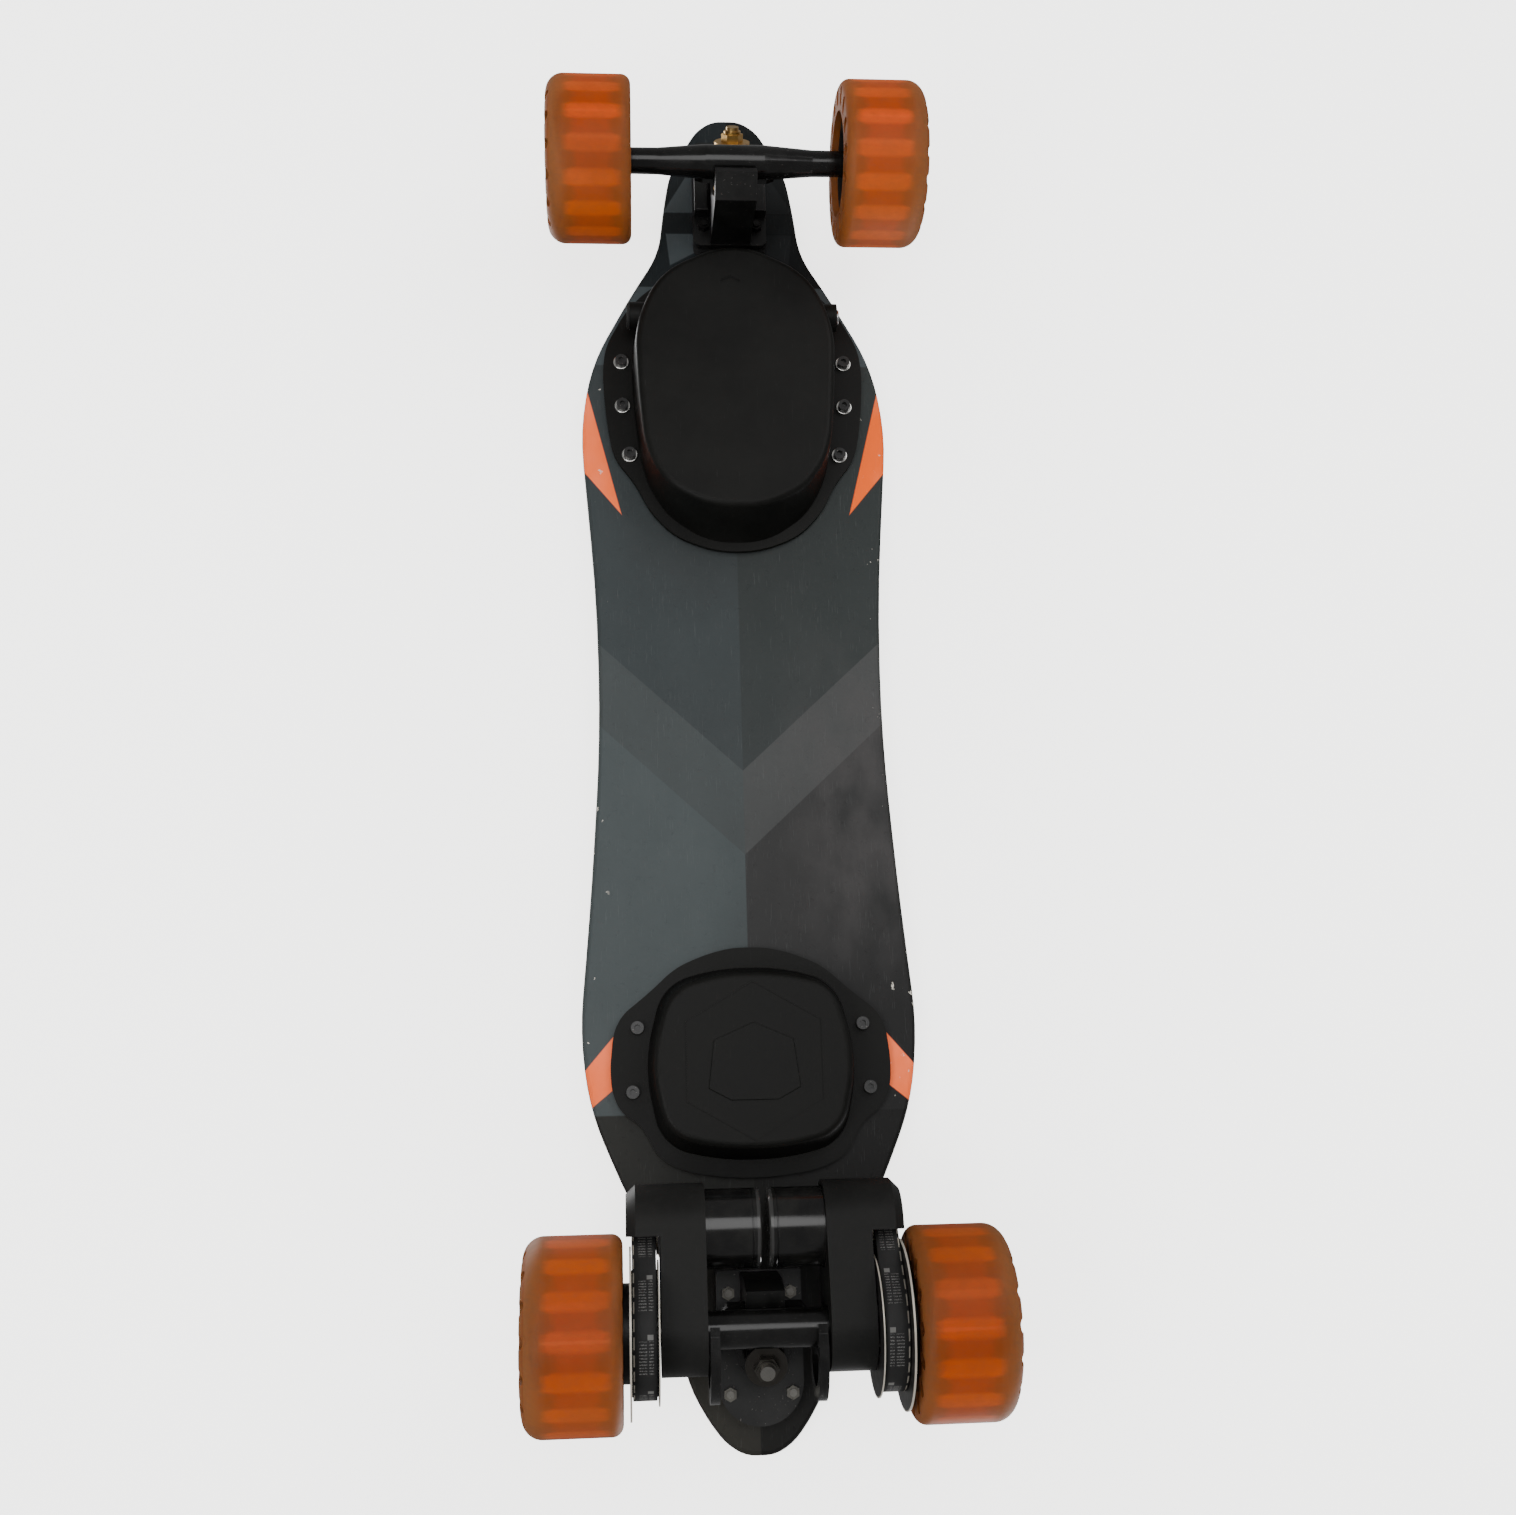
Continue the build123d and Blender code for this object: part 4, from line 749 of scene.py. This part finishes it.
# ---- operators ----------------------------------------------------------------------------------
class SKATE_OT_deck(bpy.types.Operator):
    """Finish the ply deck and its grip tape"""

    bl_idname = "skate.deck"
    bl_label = "Deck and grip"

    def execute(self, context):
        looks = context.scene.skate_looks
        paint(deck_finish(looks), "deck")
        paint(grip_finish(), "grip_tape")
        return {"FINISHED"}


class SKATE_OT_covers(bpy.types.Operator):
    """Finish the battery box, the controller box and their screws"""

    bl_idname = "skate.covers"
    bl_label = "Boxes"

    def execute(self, context):
        looks = context.scene.skate_looks
        base = tuple(looks.cover)
        paint(moulded_black("battery_plastic", base, 0.7, 0.035, battery_relief), "battery_cover")
        paint(moulded_black("controller_plastic", base, 0.7, 0.035, esc_relief), "esc_cover")
        paint(rubber_finish("gasket_rubber", (0.010, 0.010, 0.010)), "cover_gaskets")
        paint(wrap_finish(), "battery_pack")
        paint(circuit_finish(), "esc_board")
        oxide = coated_metal("black_oxide", (0.010, 0.010, 0.010), 0.34, amount=0.66)
        paint(oxide, "cover_screws")
        paint(bare_metal("bright_washer", (0.80, 0.79, 0.76), 0.16, "none"), "cover_washers")
        return {"FINISHED"}


class SKATE_OT_controls(bpy.types.Operator):
    """Finish the power button, the charge port and its cap"""

    bl_idname = "skate.controls"
    bl_label = "Button and port"

    def execute(self, context):
        paint(bare_metal("button_metal", (0.62, 0.62, 0.62), 0.24, "none"), "power_button")
        paint(moulded_black("port_plastic", (0.012, 0.012, 0.012), 0.9, 0.01), "charge_port")
        paint(rubber_finish("cap_rubber", (0.014, 0.014, 0.014)), "charge_cap")
        return {"FINISHED"}


class SKATE_OT_trucks(bpy.types.Operator):
    """Finish risers, baseplates, hangers, kingpins and their hardware"""

    bl_idname = "skate.trucks"
    bl_label = "Trucks"

    def execute(self, context):
        base = tuple(context.scene.skate_looks.coat)
        paint(coated_metal("truck_coat", base, 0.17), "front_hanger", "rear_hanger")
        paint(
            coated_metal("plate_coat", tuple(c * 1.2 for c in base), 0.38, amount=0.68),
            "front_baseplate", "rear_baseplate",
        )
        paint(rubber_finish("riser_rubber", (0.014, 0.014, 0.014)), "truck_risers", "pivot_cups")
        paint(
            rubber_finish("bushing_urethane", (0.012, 0.012, 0.012), 2.0),
            "front_bushings", "rear_bushings",
        )
        gold = (0.70, 0.43, 0.13)
        dark = (0.10, 0.095, 0.085)
        paint(two_ended("kingpin_nut_plate", gold, dark, 0.22), "kingpin_nuts")
        paint(two_ended("cup_washer_plate", gold, (0.07, 0.066, 0.06), 0.28), "kingpin_washers")
        paint(two_ended("kingpin_plate", (0.62, 0.42, 0.17), (0.30, 0.29, 0.27), 0.26), "kingpins")
        paint(two_ended("bolt_plate", (0.03, 0.03, 0.03), (0.15, 0.145, 0.13), 0.34), "truck_nuts")
        paint(two_ended("bolt_zinc", (0.04, 0.04, 0.04), (0.20, 0.195, 0.18), 0.34), "truck_bolts")
        return {"FINISHED"}


class SKATE_OT_axles(bpy.types.Operator):
    """Finish the axles, their nuts and the spacers"""

    bl_idname = "skate.axles"
    bl_label = "Axles"

    def execute(self, context):
        steel = bare_metal("axle_steel", (0.52, 0.51, 0.49), 0.28, "y")
        zinc = bare_metal("nut_zinc", (0.60, 0.59, 0.56), 0.26, "none")
        paint(steel, "front_axle", "rear_axle", "front_axle_spacers", "rear_axle_spacers")
        paint(zinc, "front_axle_nuts", "rear_axle_nuts")
        return {"FINISHED"}


class SKATE_OT_wheels(bpy.types.Operator):
    """Finish the four wheels and their bearings"""

    bl_idname = "skate.wheels"
    bl_label = "Wheels"

    def execute(self, context):
        looks = context.scene.skate_looks
        core = core_finish()
        shield = bare_metal("bearing_shield", (0.48, 0.48, 0.47), 0.3, "none")
        ends = {"front": (FRONT_AXLE, FRONT_TYRE_INNER), "rear": (REAR_AXLE, REAR_TYRE_INNER)}
        for end, (centre, inner) in ends.items():
            for name, side in (("left", 1), ("right", -1)):
                corner = f"{end}_{name}"
                cast = urethane_finish(looks, f"urethane_{corner}", centre, inner, side)
                paint(cast, f"{corner}_tyre")
                paint(core, f"{corner}_wheel_core")
                paint(shield, f"{corner}_wheel_bearings")
        return {"FINISHED"}


class SKATE_OT_drive(bpy.types.Operator):
    """Finish the motor mounts, belt covers, pulleys and screws"""

    bl_idname = "skate.drive"
    bl_label = "Drive cases"

    def execute(self, context):
        looks = context.scene.skate_looks
        coat = tuple(c * 1.5 for c in looks.coat)
        paint(coated_metal("mount_coat", coat, 0.45, amount=0.72), *pairs("motor_mount"))
        case = moulded_black("case_plastic", (0.0075, 0.0075, 0.0070), 0.8, 0.04)
        paint(case, *pairs("belt_cover"))
        paint(pulley_finish(), *pairs("wheel_pulley", "motor_pulley"))
        paint(coated_metal("motor_screw_oxide", (0.012, 0.012, 0.012), 0.35), "motor_screws")
        return {"FINISHED"}


class SKATE_OT_motors(bpy.types.Operator):
    """Finish the two motors"""

    bl_idname = "skate.motors"
    bl_label = "Motors"

    def execute(self, context):
        paint(can_finish(), *pairs("motor_can"))
        paint(bare_metal("shaft_steel", (0.55, 0.55, 0.54), 0.22, "y"), *pairs("motor_shaft"))
        paint(winding_finish(), *pairs("motor_stator"))
        return {"FINISHED"}


class SKATE_OT_belts(bpy.types.Operator):
    """Build the two toothed belts in place of the plain ones"""

    bl_idname = "skate.belts"
    bl_label = "Belts"

    def execute(self, context):
        looks = context.scene.skate_looks
        finish = belt_finish()
        for name, side in (("left", 1), ("right", -1)):
            belt = toothed_belt(f"{name}_toothed_belt", side, looks)
            belt.data.materials.append(finish)
            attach(belt, "rear_truck")
            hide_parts(f"{name}_belt")
            if len(belt.data.polygons) < 1000:
                raise RuntimeError(f"the {name} belt has no surface")
        return {"FINISHED"}


class SKATE_OT_stage(bpy.types.Operator):
    """Build the floor, the soft lamps and the camera"""

    bl_idname = "skate.stage"
    bl_label = "Studio"

    def execute(self, context):
        studio = context.scene.skate_studio
        colour = tuple(studio.floor)
        # The floor under the wheels shows from above. The board is also shown from below, lying
        # on its deck: the floor it then lies on is just over the grip tape, and shows from below.
        floor = stage_plane("studio_floor", -0.0005, 1, colour, 0.35)
        ceiling = stage_plane("studio_floor_over_deck", cad_box[1][2] + 0.004, -1, colour, 3.0)
        for plane in (floor, ceiling):
            plane.visible_shadow = False
            plane.visible_glossy = False
        ceiling.visible_diffuse = False
        power = studio.lamp_power
        soft_lamp("underside_key", (-0.7, -1.0, -1.5), (0, 0, 0.1), 0.8, power * 0.62)
        soft_lamp("underside_fill", (1.0, 1.1, -1.4), (0, 0, 0.1), 0.9, power * 0.50)
        soft_lamp("underside_front", (0.2, -0.1, -2.2), (0, 0, 0.1), 1.2, power * 0.66)
        soft_lamp("top_key", (1.2, -1.3, 1.9), (0, 0, 0.1), 1.4, power * 2.0)
        soft_lamp("top_fill", (-1.4, 1.2, 1.6), (0, 0, 0.1), 1.6, power * 1.5)
        world = bpy.data.worlds.new("studio")
        world.use_nodes = True
        background = world.node_tree.nodes["Background"]
        background.inputs[0].default_value = (0.92, 0.92, 0.92, 1)
        background.inputs[1].default_value = 0.30
        context.scene.world = world
        camera = bpy.data.cameras.new("camera")
        camera.sensor_width = 36
        camera.lens = camera.sensor_width * FOCAL_LENGTH / FRAME_WIDTH
        seat = bpy.data.objects.new("camera", camera)
        context.scene.collection.objects.link(seat)
        seat.matrix_world = camera_place()
        context.scene.camera = seat
        return {"FINISHED"}


def stage_plane(name, height, facing, colour, glow):
    """Wide flat plane that shows on one side only, and glows so that it stays pale far out."""
    reach = 9.0
    corners = [(-reach, -reach), (reach, -reach), (reach, reach), (-reach, reach)]
    if facing < 0:
        corners = corners[::-1]
    mesh = bpy.data.meshes.new(name)
    mesh.from_pydata([(x, y, height) for x, y in corners], [], [(0, 1, 2, 3)])
    plane = bpy.data.objects.new(name, mesh)
    bpy.context.scene.collection.objects.link(plane)
    f = Finish(name)
    back = f.start.node("ShaderNodeNewGeometry", out=6)
    mottle = f.noise(400, 2.0)
    shade = mottle.pick(tuple(c * 0.985 for c in colour), colour)
    matt = f.start.node("ShaderNodeBsdfDiffuse", {"Color": shade})
    light = f.start.node("ShaderNodeEmission", {"Color": opaque(colour), "Strength": glow})
    lit = f.start.node("ShaderNodeAddShader", (matt, light))
    clear = f.start.node("ShaderNodeBsdfTransparent")
    mixed = f.start.node("ShaderNodeMixShader", (back, lit, clear))
    f.start.node("ShaderNodeOutputMaterial", (mixed,))
    mesh.materials.append(f.material)
    return plane


def soft_lamp(name, place, target, size, power):
    """Square area lamp that points at a place."""
    data = bpy.data.lights.new(name, "AREA")
    data.shape = "SQUARE"
    data.size = size
    data.energy = power
    lamp = bpy.data.objects.new(name, data)
    bpy.context.scene.collection.objects.link(lamp)
    lamp.location = place
    lamp.rotation_euler = (Vector(target) - Vector(place)).to_track_quat("-Z", "Y").to_euler()
    return lamp


def camera_place():
    """Camera under the board, a little to its right, looking up with the nose at the top."""
    turn = Vector((-0.255, -0.075, -0.019))
    axes = Matrix.Rotation(turn.length, 3, turn.normalized())
    # Rows are the camera's right, down and forward in the board's frame.
    rows = axes @ Matrix(((0, 1, 0), (-1, 0, 0), (0, 0, 1)))
    right, down, forward = rows
    pose = Matrix((right, -down, -forward)).transposed().to_4x4()
    pose.translation = Vector((-0.3415, -0.0841, -1.0588))
    return pose


class SKATE_PT_panel(bpy.types.Panel):
    """Lists the steps that finish the skateboard"""

    bl_idname = "SKATE_PT_panel"
    bl_label = "Electric skateboard"
    bl_space_type = "VIEW_3D"
    bl_region_type = "UI"
    bl_category = "Skateboard"

    def draw(self, context):
        looks = context.scene.skate_looks
        for name in ("slate", "charcoal", "stripe", "urethane", "cover", "coat"):
            self.layout.prop(looks, name)
        for name in ("belt_pitch", "belt_width", "belt_middle"):
            self.layout.prop(looks, name)
        for step in STEPS:
            self.layout.operator(step.bl_idname)


STEPS = (
    SKATE_OT_deck,
    SKATE_OT_covers,
    SKATE_OT_controls,
    SKATE_OT_trucks,
    SKATE_OT_axles,
    SKATE_OT_wheels,
    SKATE_OT_drive,
    SKATE_OT_motors,
    SKATE_OT_belts,
    SKATE_OT_stage,
)
CLASSES = (SkateLooks, StudioSettings, *STEPS, SKATE_PT_panel)


def register():
    for one in CLASSES:
        bpy.utils.register_class(one)
    bpy.types.Scene.skate_looks = bpy.props.PointerProperty(type=SkateLooks)
    bpy.types.Scene.skate_studio = bpy.props.PointerProperty(type=StudioSettings)


def unregister():
    del bpy.types.Scene.skate_studio
    del bpy.types.Scene.skate_looks
    for one in reversed(CLASSES):
        bpy.utils.unregister_class(one)


def main():
    register()
    bpy.ops.skate.deck()
    bpy.ops.skate.covers()
    bpy.ops.skate.controls()
    bpy.ops.skate.trucks()
    bpy.ops.skate.axles()
    bpy.ops.skate.wheels()
    bpy.ops.skate.drive()
    bpy.ops.skate.motors()
    bpy.ops.skate.belts()
    bpy.ops.skate.stage()


if __name__ == "__main__":
    main()
